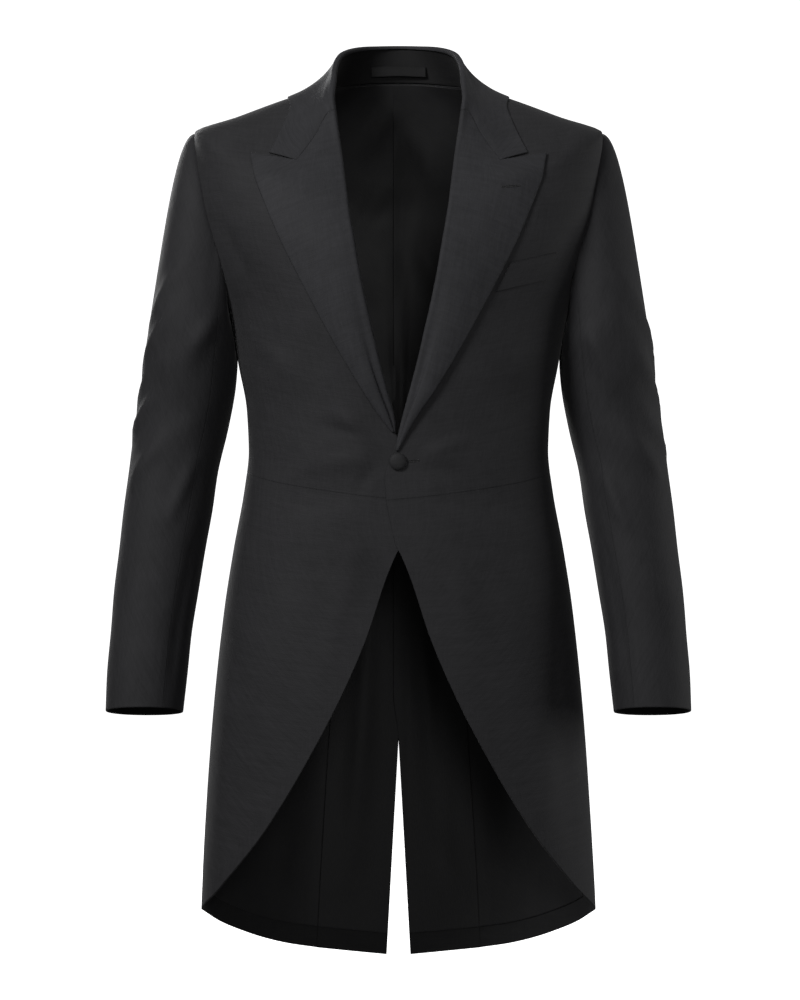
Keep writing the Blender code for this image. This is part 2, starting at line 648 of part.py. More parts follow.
def sleeve_grid(side):
    """Rings of one sleeve from the armhole to the cuff, and their outward directions."""
    places = armhole_ring()
    start, out = laid(places, side)
    start = start + out * (CLOTH + LAYER_GAP + 0.0002)
    loop = np.vstack([start, start[:1]])
    run = np.concatenate([[0], np.cumsum(np.linalg.norm(np.diff(loop, axis=0), axis=-1))])
    top = 3 + len(ARMHOLE_FRONT_LINE)
    total = run[-1]
    turn = np.interp(run[:-1], [0, run[top], total], [0, 180, 360])
    angle = np.radians(turn)
    rings = []
    for x, y, z, half, depth in SLEEVE:
        ring_x = x - half * np.sign(np.cos(angle)) * np.abs(np.cos(angle)) ** 0.92
        ring_y = y - depth * np.sign(np.sin(angle)) * np.abs(np.sin(angle)) ** 0.92
        pitch = FOREARM_PITCH * smooth_step((-0.42 - z) / 0.2)
        ring_z = z - (ring_y - y) * pitch
        rings.append(np.stack([ring_x, ring_y, ring_z], -1))
    bicep = rings[0]
    axis = unit(SLEEVE[1, :3] - SLEEVE[0, :3])
    chord = np.linalg.norm(bicep - start, axis=-1)[:, None]
    over = ((1 - np.cos(angle)) / 2)[:, None]
    radial = np.stack([-np.cos(angle), -np.sin(angle), 0 * angle], -1)
    leave = chord * (0.36 * radial * over + np.array([0, 0, -1.0]) * (1 - over) * 0.8)
    arrive = chord * axis
    cap = []
    for t in CAP_STEPS:
        point = (start * (1 + 2 * t) * (1 - t) ** 2 + leave * t * (1 - t) ** 2
                 + bicep * t * t * (3 - 2 * t) + arrive * t * t * (t - 1))
        point[:, 0] -= 0.0045 * math.sin(math.pi * t) * over[:, 0] ** 4
        cap.append(point)
    grid = np.array(cap + rings)
    for i in range(len(CAP_STEPS), len(grid)):
        for who, turn0, z0, turn1, z1, width, height in SLEEVE_FOLDS:
            if who not in (0, side):
                continue
            seen = np.stack([np.radians(turn) * 0.058, grid[i, :, 2]], -1)
            head = np.array([math.radians(turn0) * 0.058, z0])
            line = np.array([math.radians(turn1) * 0.058, z1]) - head
            along = np.clip((seen - head) @ line / (line @ line), 0, 1)
            away = np.linalg.norm(seen - head - along[:, None] * line, axis=-1)
            swell = height * (0.3 + 0.7 * np.sin(np.pi * along)) * np.exp(-(away / width) ** 2)
            grid[i] += radial * swell[:, None]
    clear = body_side_x(grid) + 0.0036
    low = grid[..., 2] < -0.262
    grid[1:, :, 0] = np.where(low[1:], np.maximum(grid[1:, :, 0], clear[1:]), grid[1:, :, 0])
    ringed = np.concatenate([grid[:, -1:], grid, grid[:, :1]], axis=1)
    out = grid_facing(ringed)[:, 1:-1]
    if out[10, top, 0] < 0:
        out = -out
    return grid, out


def add_sleeve(side):
    grid, out = sleeve_grid(side)
    count = grid.shape[1]
    name = side_name(side)
    over = list(range(SLEEVE_FRONT_SEAM, SLEEVE_BACK_SEAM + 1))
    under = list(range(SLEEVE_BACK_SEAM, count)) + list(range(0, SLEEVE_FRONT_SEAM + 1))
    for node, columns in (("sleeve_top", over), ("sleeve_under", under)):
        middle = pull_in(grid[:, columns], SEAM, "ew")
        add_sheet(f"{node}_{name}", mirrored(middle, side), mirrored(out[:, columns], side), CLOTH, "wool")


def add_welt():
    """Breast welt on the wearer's left chest, made from the panel's own shape and moved out."""
    low_in, low_out, high_out, high_in = (np.array(c) for c in WELT_CORNERS)
    rows, directions = [], []
    for v in np.linspace(0, 1, 3):
        row, faces = [], []
        for u in np.linspace(0, 1, 6):
            flat = (low_in * (1 - u) + low_out * u) * (1 - v) + (high_in * (1 - u) + high_out * u) * v
            point, face = laid(locate(*flat), 1)
            row.append(point + face * (CLOTH / 2 + LAYER_GAP + 0.0008))
            faces.append(face)
        rows.append(row)
        directions.append(faces)
    add_sheet("breast_welt", np.array(rows), np.array(directions), 0.0014, "wool")


def add_button():
    """Domed covered button on the left front."""
    place = locate(BUTTON_X, BUTTON_Z)
    point, out = laid(place, 1)
    out = np.array([0.0, -1.0, 0.0])
    base = point + out * (CLOTH / 2 + 0.0005)
    sections = [(0.55, 0.0), (0.96, 0.10), (1.0, 0.28), (0.93, 0.55), (0.72, 0.80), (0.40, 0.95)]
    around = 20
    points = [base]
    for radius, height in sections:
        for j in range(around):
            turn = 2 * math.pi * j / around
            points.append(base + np.array([math.cos(turn), 0, math.sin(turn)]) * BUTTON_RADIUS * radius
                          + out * BUTTON_HEIGHT * height)
    points.append(base + out * BUTTON_HEIGHT)
    faces = []
    last = len(points) - 1
    for j in range(around):
        k = (j + 1) % around
        faces.append((0, 1 + k, 1 + j))
        for i in range(len(sections) - 1):
            a = 1 + i * around
            b = a + around
            faces.append((a + j, a + k, b + k, b + j))
        a = 1 + (len(sections) - 1) * around
        faces.append((a + j, a + k, last))
    add_mesh("button", np.array(points), faces, "button_cloth")


clear_scene()
for wearer_side in (1, -1):
    add_panels(wearer_side)
    add_lapel(wearer_side)
    add_sleeve(wearer_side)
add_collar()
add_welt()
add_button()
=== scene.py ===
"""Dressed scene of a hollow morning coat, filled out as if worn.

Metres, +Z up. The coat's front faces -Y and the wearer's left is +X. Every piece is cloth laid on the
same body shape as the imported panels, with finer points, creases, rounded edges and woven finishes.
"""

import math

import bpy
import mathutils
import numpy as np
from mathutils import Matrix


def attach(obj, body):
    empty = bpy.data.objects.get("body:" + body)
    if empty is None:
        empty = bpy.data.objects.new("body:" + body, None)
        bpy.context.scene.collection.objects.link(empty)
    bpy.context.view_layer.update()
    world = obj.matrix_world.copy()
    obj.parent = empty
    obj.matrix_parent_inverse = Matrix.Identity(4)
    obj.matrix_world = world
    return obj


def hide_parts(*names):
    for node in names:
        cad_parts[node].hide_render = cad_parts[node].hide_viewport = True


# Cloth thicknesses, gaps and folds over edges
CLOTH = 0.0020
LINING = 0.0009
LAYER_GAP = 0.0004
ROLL_RADIUS = 0.0034
UNDERLAP = 0.0030
TURN_UP = 0.024
POWER = 2.3
SIDE_SEAM = 78.0

# Body shape. Columns: height of the side line, half width, depth of the side line, depth of the front,
# depth of the back, height of the front and of the back above the side line.
SECTIONS = np.array([
    (-1.02, 0.223, 0.012, -0.122, 0.152, 0, 0),
    (-0.924, 0.2201, 0.012, -0.125, 0.148, 0, 0),
    (-0.795, 0.2128, 0.01, -0.127, 0.142, 0, 0),
    (-0.706, 0.2061, 0.008, -0.129, 0.135, 0, 0),
    (-0.594, 0.1943, 0.005, -0.13, 0.122, 0, 0),
    (-0.526, 0.1837, 0.003, -0.13, 0.111, 0, 0),
    (-0.459, 0.1714, 0.001, -0.129, 0.099, 0, 0),
    (-0.414, 0.1663, 0, -0.128, 0.095, 0, 0),
    (-0.37, 0.1686, -0.001, -0.13, 0.098, 0, 0),
    (-0.325, 0.1764, -0.002, -0.133, 0.104, 0, 0),
    (-0.268, 0.187, -0.001, -0.136, 0.112, 0, 0),
    (-0.2, 0.2105, 0.003, -0.135, 0.117, -0.022, -0.008),
    (-0.13, 0.2255, 0.007, -0.13, 0.118, -0.058, -0.024),
    (-0.06, 0.228, 0.01, -0.116, 0.11, -0.09, -0.04),
    (-0.0415, 0.18, 0.012, -0.1, 0.102, -0.088, -0.022),
    (-0.0225, 0.13, 0.015, -0.08, 0.092, -0.085, -0.006),
    (-0.005, 0.078, 0.02, -0.055, 0.08, -0.08, 0.0095),
])
NECK_LEVEL = -0.005

# Front edge below the lapel: distance past the centre and height
FRONT_EDGE = [(-0.0133, -0.471), (-0.014, -0.442)]

# Lapel rows, bottom to top. Columns: roll edge x and z, how far the roll stands before the body,
# outer edge x and z, how far the roll is turned over, how far the outer edge lifts.
LAPEL_ROWS = np.array([
    (-0.0045, -0.4135, 0, 0.002, -0.4135, 0, 0),
    (0, -0.4022, 0, 0.0075, -0.4022, 0.35, 0.001),
    (0.0038, -0.3838, 0, 0.0171, -0.3838, 0.7, 0.003),
    (0.0119, -0.3513, 0, 0.0385, -0.3513, 1, 0.004),
    (0.0206, -0.3188, 0, 0.058, -0.3188, 1, 0.0025),
    (0.0282, -0.2863, 0, 0.0765, -0.2863, 1, 0.001),
    (0.0357, -0.2538, 0, 0.0938, -0.2538, 1, 0.0004),
    (0.0422, -0.2213, 0, 0.1107, -0.2213, 1, 0.0004),
    (0.0477, -0.1887, 0.001, 0.1272, -0.1887, 1, 0.0004),
    (0.0535, -0.156, 0.003, 0.1415, -0.156, 1, 0.0004),
    (0.058, -0.1213, 0.006, 0.1553, -0.1213, 1, 0.0004),
    (0.0625, -0.0864, 0.011, 0.1582, -0.1105, 1, 0.0004),
    (0.0665, -0.06, 0.017, 0.1608, -0.0998, 1, 0.0004),
    (0.0687, -0.0417, 0.022, 0.163, -0.0905, 1, 0.0004),
])
ROLL_TOP = (0.071, -0.0245, 0.027)
LAPEL_BEND = [0, 0, 0, 0, 0, 0, 0, 0, 0, 0, 0.2, 0.45, 0.8, 1]
LAPEL_ACROSS = [0.27, 0.52, 0.76, 1]
# Top edge of the lapel past the roll: gorge middle, notch corner, peak edge middle, peak tip
GORGE = [(0.092, -0.0723), (0.1114, -0.1003), (0.137, -0.0955), (0.163, -0.0905)]
# Front end of the collar leaf: gorge middle, notch corner, notch edge middle, collar tip
LEAF_END = [(0.092, -0.0723), (0.1114, -0.1003), (0.127, -0.095), (0.1421, -0.0903)]

# Collar stations from the lapel to the centre back. Columns: top of the stand x, y, z; place of the
# neck seam round the neck in degrees; outer edge of the leaf x and z; 1 where that edge is at the back.
COLLAR = np.array([
    (0.072, -0.047, -0.0245, 62, 0.1335, -0.072, 0),
    (0.0722, -0.034, -0.006, 70, 0.1255, -0.0525, 0),
    (0.0715, -0.018, 0.008, 80, 0.12, -0.0353, 0),
    (0.069, 0.002, 0.0205, 91, 0.1235, -0.0215, 0),
    (0.06, 0.029, 0.033, 108, 0.1165, -0.0245, 1),
    (0.044, 0.054, 0.04, 130, 0.09, -0.02, 1),
    (0.022, 0.0715, 0.0433, 156, 0.047, -0.0105, 1),
    (0, 0.077, 0.0443, 180, 0, -0.0065, 1),
])

# Armhole. The front is x and z as seen from the front; the rest is degrees round the body and level.
ARMHOLE_FRONT = [(0.1895, -0.236), (0.195, -0.212), (0.2025, -0.186), (0.208, -0.167),
                 (0.2155, -0.136), (0.2245, -0.09)]
ARMHOLE_BACK = [(98, -0.085), (106, -0.115), (112, -0.145), (115.5, -0.178)]
ARMHOLE_UNDER = [(114, -0.205), (108, -0.235), (99, -0.26), (90, -0.27), (83, -0.262)]
ARMHOLE_CORNER = (SIDE_SEAM, -0.25)
SHOULDER_POINT = (90, -0.06)
SHOULDER_SEAM = [(90, -0.0415), (90, -0.0225), (90, NECK_LEVEL)]
SIDE_LEVELS = [-0.44, -0.41, -0.38, -0.35, -0.32, -0.285]
WAIST_LEVEL = -0.44
BACK_SEAM = [(0.0575, -0.415), (0.0675, -0.385), (0.083, -0.352), (0.105, -0.308),
             (0.131, -0.262), (0.158, -0.222), (0.186, -0.19)]
BACK_WAIST_X = 0.055
CENTRE_LEVELS = [-0.415, -0.385, -0.352, -0.308, -0.262, -0.222, -0.19, -0.17, -0.14, -0.11,
                 -0.083, -0.06, -0.0415, -0.0225, NECK_LEVEL]

# Skirt hem from the front edge to the side, x and z from the front, then to the pleat from the back
SKIRT_FRONT_HEM = [(-0.002, -0.5215), (0.0137, -0.557), (0.0356, -0.623), (0.064, -0.688),
                   (0.097, -0.751), (0.1246, -0.799), (0.153, -0.843), (0.181, -0.879),
                   (0.203, -0.906), (0.219, -0.9265)]
SKIRT_BACK_HEM = [(0.215, -0.94), (0.202, -0.952), (0.183, -0.963), (0.158, -0.974),
                  (0.128, -0.983), (0.095, -0.989)]
BACK_HEM_LEVEL = -0.998
VENT_TOP = -0.745
VENT_SPREAD = 0.014

# Sleeve stations. Columns: centre x, y, z, half width, half depth.
SLEEVE = np.array([
    (0.231, 0, -0.302, 0.051, 0.066),
    (0.2358, 0.006, -0.347, 0.052, 0.064),
    (0.244, 0.01, -0.392, 0.0516, 0.0615),
    (0.252, 0.006, -0.437, 0.049, 0.059),
    (0.258, 0, -0.482, 0.0487, 0.057),
    (0.264, -0.007, -0.526, 0.047, 0.055),
    (0.27, -0.015, -0.571, 0.046, 0.053),
    (0.275, -0.022, -0.616, 0.044, 0.051),
    (0.279, -0.029, -0.661, 0.0437, 0.049),
    (0.282, -0.035, -0.705, 0.042, 0.0475),
])
CAP_STEPS = [0, 0.07, 0.18, 0.32, 0.5, 0.7, 0.86]
FOREARM_PITCH = math.tan(math.radians(8.7))
SLEEVE_FRONT_SEAM = 4
SLEEVE_BACK_SEAM = 14

# Folds. Columns: side of the coat (0 is both), 1 on the back, ends as x and z, width, height.
FOLDS = np.array([
    (0, 0, 0.02, -0.44, 0.15, -0.4, 0.022, 0.0018),
    (0, 0, 0.03, -0.455, 0.14, -0.475, 0.018, -0.0015),
    (1, 0, 0.1, -0.33, 0.17, -0.29, 0.024, 0.002),
    (-1, 0, 0.095, -0.345, 0.165, -0.315, 0.022, 0.0018),
    (0, 0, 0.185, -0.205, 0.13, -0.27, 0.022, -0.002),
    (1, 0, 0.12, -0.52, 0.16, -0.84, 0.028, 0.003),
    (-1, 0, 0.11, -0.51, 0.175, -0.85, 0.03, 0.0026),
    (0, 1, 0.06, -0.52, 0.11, -0.96, 0.026, 0.0035),
    (1, 1, 0.13, -0.52, 0.17, -0.93, 0.03, 0.003),
    (-1, 1, 0.14, -0.5, 0.185, -0.92, 0.03, -0.0026),
    (0, 1, 0.02, -0.41, 0.12, -0.38, 0.022, 0.0022),
    (1, 1, 0.02, -0.1, 0.15, -0.16, 0.03, 0.002),
    (-1, 1, 0.03, -0.12, 0.16, -0.15, 0.03, 0.0018),
])
# Sleeve folds. Columns: side (0 is both), start and end as degrees round the sleeve and height, width
# in metres, height of the fold.
SLEEVE_FOLDS = np.array([
    (0, 120, -0.24, 60, -0.3, 0.02, 0.003),
    (1, 150, -0.285, 90, -0.35, 0.018, 0.0028),
    (-1, 140, -0.3, 75, -0.365, 0.018, 0.0028),
    (0, 60, -0.375, 120, -0.42, 0.018, 0.0026),
    (1, 50, -0.42, 110, -0.455, 0.016, -0.002),
    (0, 240, -0.36, 300, -0.42, 0.022, 0.0026),
    (-1, 220, -0.42, 290, -0.45, 0.02, 0.0022),
    (1, 90, -0.56, 160, -0.6, 0.024, 0.0016),
])

BUTTON_X = -0.0005
BUTTON_Z = -0.4287
BUTTON_RADIUS = 0.0097
BUTTON_HEIGHT = 0.0052
WELT_CORNERS = [(0.1055, -0.2442), (0.1625, -0.23), (0.1745, -0.199), (0.1215, -0.2127)]
LOOP_HALF = 0.031
LOOP_LOW = 0.012
LOOP_HIGH = 0.0235


# Creases pressed into the cloth by wear, in the same columns as FOLDS, and those of the linings
CREASES = np.array([
    (-1, 0, 0.018, -0.418, 0.068, -0.374, 0.008, 0.0026),
    (-1, 0, 0.03, -0.402, 0.08, -0.39, 0.007, -0.002),
    (-1, 0, 0.016, -0.431, 0.044, -0.456, 0.006, -0.0028),
    (-1, 0, 0.024, -0.424, 0.09, -0.432, 0.008, 0.0018),
    (1, 0, 0.018, -0.424, 0.075, -0.404, 0.007, 0.0022),
    (1, 0, 0.02, -0.436, 0.075, -0.44, 0.007, -0.002),
    (1, 0, 0.016, -0.446, 0.06, -0.466, 0.008, 0.0018),
    (1, 0, 0.15, -0.3, 0.12, -0.345, 0.009, 0.0017),
    (-1, 0, 0.158, -0.29, 0.118, -0.33, 0.01, 0.0017),
    (1, 0, 0.196, -0.17, 0.172, -0.235, 0.01, -0.0023),
    (-1, 0, 0.198, -0.16, 0.168, -0.225, 0.01, -0.0026),
    (1, 0, 0.06, -0.52, 0.085, -0.64, 0.014, 0.0017),
    (-1, 0, 0.05, -0.53, 0.08, -0.66, 0.013, 0.0017),
    (1, 0, 0.17, -0.6, 0.195, -0.88, 0.016, -0.0032),
    (-1, 0, 0.18, -0.64, 0.2, -0.88, 0.015, 0.0029),
    (0, 0, 0.19, -0.075, 0.15, -0.12, 0.012, -0.0013),
    (1, 1, 0.035, -0.38, 0.11, -0.345, 0.009, 0.002),
    (-1, 1, 0.03, -0.4, 0.105, -0.37, 0.009, 0.0019),
    (1, 1, 0.18, -0.15, 0.14, -0.24, 0.012, 0.0029),
    (-1, 1, 0.18, -0.14, 0.135, -0.225, 0.012, 0.0032),
    (1, 1, 0.04, -0.56, 0.055, -0.9, 0.012, 0.0017),
    (-1, 1, 0.035, -0.6, 0.06, -0.92, 0.012, -0.0017),
    (0, 1, 0.15, -0.48, 0.16, -0.7, 0.013, 0.002),
])
LINING_CREASES = np.array([
    (1, 1, 0.003, -0.03, 0.045, -0.105, 0.008, -0.003),
    (-1, 1, 0.004, -0.012, 0.036, -0.07, 0.008, -0.0032),
    (-1, 1, 0.004, -0.09, 0.05, -0.16, 0.01, -0.0024),
    (1, 1, 0.01, -0.15, 0.06, -0.25, 0.012, -0.0022),
    (0, 1, 0, -0.3, 0.05, -0.42, 0.012, -0.0018),
    (0, 1, 0.002, -0.02, 0.004, -0.42, 0.004, -0.002),
    (1, 1, 0.02, -0.56, 0.05, -0.85, 0.014, -0.0022),
    (-1, 1, 0.03, -0.52, 0.045, -0.88, 0.014, -0.002),
    (0, 1, 0.11, -0.6, 0.14, -0.9, 0.016, -0.0022),
])
# Sleeve creases, in the same columns as SLEEVE_FOLDS
SLEEVE_CREASES = np.array([
    (-1, 166, -0.288, 108, -0.195, 0.009, 0.0045),
    (-1, 172, -0.338, 112, -0.248, 0.01, 0.0045),
    (-1, 174, -0.404, 116, -0.345, 0.008, 0.0053),
    (-1, 154, -0.458, 98, -0.398, 0.0085, 0.0045),
    (-1, 178, -0.374, 140, -0.318, 0.007, 0.0032),
    (-1, 98, -0.33, 62, -0.258, 0.011, 0.0045),
    (-1, 88, -0.5, 60, -0.42, 0.009, 0.004),
    (-1, 40, -0.5, 52, -0.7, 0.0105, -0.0022),
    (1, 168, -0.304, 112, -0.205, 0.0095, 0.0045),
    (1, 174, -0.38, 116, -0.29, 0.0095, 0.005),
    (1, 170, -0.426, 122, -0.374, 0.008, 0.0045),
    (1, 142, -0.454, 92, -0.39, 0.0085, 0.0045),
    (1, 100, -0.352, 66, -0.276, 0.011, 0.0045),
    (1, 180, -0.34, 146, -0.268, 0.007, 0.0029),
    (1, 84, -0.51, 58, -0.43, 0.009, 0.0037),
    (1, 42, -0.5, 55, -0.69, 0.0105, -0.002),
    (0, 250, -0.395, 320, -0.425, 0.0084, 0.003),
    (0, 240, -0.445, 310, -0.48, 0.0095, 0.0024),
    (1, 210, -0.25, 262, -0.35, 0.0126, 0.0028),
    (-1, 214, -0.23, 266, -0.34, 0.0126, 0.0028),
])


# Finer points between the panels' own rows and columns
def eased(start, end, leave, arrive, t):
    """A point on the way from start to end, which it leaves and reaches in these directions."""
    return (start * (1 + 2 * t) * (1 - t) ** 2 + leave * t * (1 - t) ** 2
            + end * t * t * (3 - 2 * t) + arrive * t * t * (t - 1))


def refine_rows(points, times, breaks=(), measure=None):
    """Smooth points between rows spaced by their chords, with sharp turns kept at the break rows."""
    measure = points if measure is None else measure
    chord = np.linalg.norm(np.diff(measure, axis=0), axis=-1)
    chord = chord.reshape(len(chord), -1).mean(1) + 1e-6
    shape = (-1,) + (1,) * (points.ndim - 1)
    pace = np.diff(points, axis=0) / chord.reshape(shape)
    before = np.concatenate([pace[:1], pace])
    after = np.concatenate([pace, pace[-1:]])
    back = np.concatenate([chord[:1], chord]).reshape(shape)
    ahead = np.concatenate([chord, chord[-1:]]).reshape(shape)
    smooth = (before * ahead + after * back) / (back + ahead)
    leave, arrive = smooth.copy(), smooth.copy()
    for b in breaks:
        leave[b], arrive[b] = after[b], before[b]
    t = (np.arange(times) / times).reshape(shape)
    parts = []
    for i in range(len(points) - 1):
        parts.append(eased(points[i], points[i + 1], leave[i] * chord[i], arrive[i + 1] * chord[i], t))
    return np.concatenate(parts + [points[-1:]])


def refine(grid, times, row_breaks=(), column_breaks=()):
    """A grid with more rows and columns on the same surface."""
    grid = refine_rows(grid, times, row_breaks)
    return np.moveaxis(refine_rows(np.moveaxis(grid, 1, 0), times, column_breaks), 0, 1)


def smooth_slopes(table):
    """Slopes that never overshoot, for each column of a table against its first."""
    step = np.diff(table[:, 0])[:, None]
    rise = np.diff(table[:, 1:], axis=0) / step
    product = rise[:-1] * rise[1:]
    total = np.where(product > 0, rise[:-1] + rise[1:], 1.0)
    middle = np.where(product > 0, 2 * product / total, 0.0)
    return np.vstack([rise[:1], middle, rise[-1:]])


SLOPES = smooth_slopes(SECTIONS)


def section_at(level):
    """The body shape's columns at any level."""
    place = SECTIONS[:, 0]
    index = np.clip(np.searchsorted(place, level) - 1, 0, len(place) - 2)
    span = place[index + 1] - place[index]
    t = np.clip((level - place[index]) / span, -0.5, 1.5)[..., None]
    span = span[..., None]
    return eased(SECTIONS[index, 1:], SECTIONS[index + 1, 1:], SLOPES[index] * span,
                 SLOPES[index + 1] * span, t)


def form(phi, level):
    """Body shape: phi is 0 at the front centre, 90 at the side and 180 at the back centre."""
    phi = np.asarray(phi, float)
    level = np.asarray(level, float)
    half, side_y, front_y, back_y, front_z, back_z = np.moveaxis(section_at(level), -1, 0)
    sine = np.sin(np.radians(phi))
    cosine = np.cos(np.radians(phi))
    x = half * np.sign(sine) * np.abs(sine) ** (2 / POWER)
    reach = np.where(cosine > 0, front_y - side_y, back_y - side_y)
    y = side_y + reach * np.abs(cosine) ** (2 / POWER)
    z = level + np.where(cosine > 0, front_z, back_z) * cosine ** 2
    return np.stack([x, y, z], -1)


def phi_at(x, level, back=False):
    """Degrees round the body of a point with this x on this level."""
    half = section_at(np.asarray(level, float))[..., 0]
    share = np.clip(abs(x) / half, 0.0, 1.0) ** (POWER / 2)
    turn = math.copysign(math.degrees(math.asin(share)), x)
    return 180 - turn if back else turn


def locate(x, z, back=False):
    """Place on the body shape of a point seen from the front or the back."""
    low, high = -1.02, NECK_LEVEL
    for _ in range(40):
        level = (low + high) / 2
        if form(phi_at(x, level, back), level)[2] < z:
            low = level
        else:
            high = level
    return phi_at(x, level, back), level


ROLL = [locate(row[0] + ROLL_RADIUS * row[5], row[1]) for row in LAPEL_ROWS]
ROLL.append(locate(ROLL_TOP[0] + 0.0030, ROLL_TOP[1]))
ROLL_LEVELS = np.array([place[1] for place in ROLL])
ROLL_PHI = np.array([place[0] for place in ROLL])
ROLL_STAND = np.append(LAPEL_ROWS[:, 2], ROLL_TOP[2])


def smooth_step(t):
    """0 to 1 with a soft start and end."""
    t = np.clip(t, 0.0, 1.0)
    return t * t * (3 - 2 * t)


def body(phi, level, side):
    """Body shape with the roll standing off the chest and the right front under the left."""
    phi = np.asarray(phi, float)
    level = np.asarray(level, float)
    point = form(phi, level)
    stand = np.interp(level, ROLL_LEVELS, ROLL_STAND)
    start = np.interp(level, ROLL_LEVELS, ROLL_PHI)
    share = np.clip((90 - phi) / (90 - start), 0.0, 1.0)
    point[..., 1] -= stand * share ** 2
    if side < 0:
        near = smooth_step((0.060 - point[..., 0]) / 0.045)
        window = smooth_step((-0.325 - level) / 0.060) * smooth_step((level + 0.640) / 0.090)
        front = np.cos(np.radians(phi)) > 0
        point[..., 1] += np.where(front, UNDERLAP * near * window, 0.0)
    return point


def facing(phi, level, side):
    """Outward direction of the body shape."""
    level = np.clip(np.asarray(level, float), -1.0, NECK_LEVEL - 0.0006)
    round_step = body(phi + 0.4, level, side) - body(phi - 0.4, level, side)
    up_step = body(phi, level + 0.0005, side) - body(phi, level - 0.0005, side)
    out = np.cross(round_step, up_step)
    out = out / np.linalg.norm(out, axis=-1, keepdims=True)
    inside = np.sum(out * (form(phi, level) - (0, 0.01, -0.3)) * (1, 1, 0), -1) < 0
    return out * np.where(inside, -1, 1)[..., None]


def ridge(seen, start, end, width, height, floor):
    """Height of one fold, a soft ridge from start to end whose ends sink to the share floor."""
    line = end - start
    along = np.clip((seen - start) @ line / (line @ line), 0, 1)
    away = np.linalg.norm(seen - start - along[..., None] * line, axis=-1)
    return height * (floor + (1 - floor) * np.sin(np.pi * along)) * np.exp(-(away / width) ** 2)


def fold_height(points, phi, side, table):
    """Height of the folds and creases of one table at points of the body."""
    total = np.zeros(points.shape[:-1])
    at_back = np.asarray(phi) > 90
    for who, back, x0, z0, x1, z1, width, height in table:
        if who not in (0, side):
            continue
        swell = ridge(points[..., [0, 2]], np.array([x0, z0]), np.array([x1, z1]), width, height, 0.35)
        total += np.where(at_back == bool(back), swell, 0)
    return total


BODY_FOLDS = np.vstack([FOLDS, CREASES])


def laid(places, side, table=None):
    """Points on the coat's cloth with the folds of one table, and their outward directions."""
    places = np.asarray(places, float)
    phi, level = places[..., 0], places[..., 1]
    point = body(phi, level, side)
    out = facing(phi, level, side)
    if table is None:
        return point, out
    rise = fold_height(point, phi, side, table) * smooth_step((phi - 4) / 8)
    return point + out * rise[..., None], out


def pull_in(grid, gap, edges="nsew"):
    """Move the grid's chosen edges inwards so that a seam gap stays between panels."""
    grid = grid.copy()
    for edge, rim, inner in (("s", grid[0], grid[1]), ("n", grid[-1], grid[-2]),
                             ("w", grid[:, 0], grid[:, 1]), ("e", grid[:, -1], grid[:, -2])):
        if edge not in edges:
            continue
        along = np.gradient(rim, axis=0)
        along /= np.linalg.norm(along, axis=-1, keepdims=True) + 1e-12
        inward = inner - rim
        inward -= np.sum(inward * along, -1, keepdims=True) * along
        inward /= np.linalg.norm(inward, axis=-1, keepdims=True) + 1e-12
        rim += inward * gap
    return grid


def unit(vector):
    return vector / (np.linalg.norm(vector, axis=-1, keepdims=True) + 1e-12)


def grid_facing(grid):
    """Directions square to a grid's surface, all to the same side."""
    return unit(np.cross(np.gradient(grid, axis=1), np.gradient(grid, axis=0)))


# Boundary lines shared by neighbouring panels, as finely divided as the cloth
TIMES = 5


def fine_line(places, breaks=()):
    """Places along a boundary line, TIMES to each step, spaced by their chords on the body."""
    places = np.array(places, float)
    return refine_rows(places, TIMES, breaks, form(places[:, 0], places[:, 1]))


def joined(*lines):
    """Lines that share their end points, as one line."""
    return np.concatenate([lines[0]] + [line[1:] for line in lines[1:]])


SHOULDER_LINE = [SHOULDER_POINT] + SHOULDER_SEAM
WAIST_PHI = 180 - math.degrees(math.asin((BACK_WAIST_X / 0.1690) ** (POWER / 2)))
SIDE_LINE = fine_line([(SIDE_SEAM, level) for level in SIDE_LEVELS] + [ARMHOLE_CORNER])
FRONT_ARMHOLE = fine_line([ARMHOLE_CORNER] + [locate(x, z) for x, z in ARMHOLE_FRONT] + [SHOULDER_POINT])
SEAM_LINE = fine_line([(WAIST_PHI, WAIST_LEVEL)] + [locate(x, z, True) for x, z in BACK_SEAM]
                      + [ARMHOLE_BACK[-1]])
BACK_ARMHOLE = fine_line([SHOULDER_POINT] + ARMHOLE_BACK + ARMHOLE_UNDER + [ARMHOLE_CORNER])
BACK_TURN = 4 * TIMES
FRONT_STEPS = 9
SIDE_STEPS = 6
SKIRT_STEPS = 9


def ruled(start, end, across):
    """Places between two boundary lines, row by row."""
    share = np.linspace(0, 1, across + 1)[None, :, None]
    return start[:, None, :] * (1 - share) + end[:, None, :] * share


def between(bottom, top, left, right):
    """Places inside four boundary lines that share their corners."""
    u = np.linspace(0, 1, len(bottom))[None, :, None]
    v = np.linspace(0, 1, len(left))[:, None, None]
    sides = left[:, None] * (1 - u) + right[:, None] * u
    ends = bottom[None] * (1 - v) + top[None] * v
    corners = ((bottom[0] * (1 - u) + bottom[-1] * u) * (1 - v)
               + (top[0] * (1 - u) + top[-1] * u) * v)
    return sides + ends - corners


def front_places():
    """Places from the front edge and the roll line to the side seam, armhole and shoulder."""
    start = fine_line([locate(x, z) for x, z in FRONT_EDGE] + ROLL, (2,))
    end = joined(SIDE_LINE, FRONT_ARMHOLE, fine_line(SHOULDER_LINE))
    return ruled(start, end, FRONT_STEPS * TIMES)


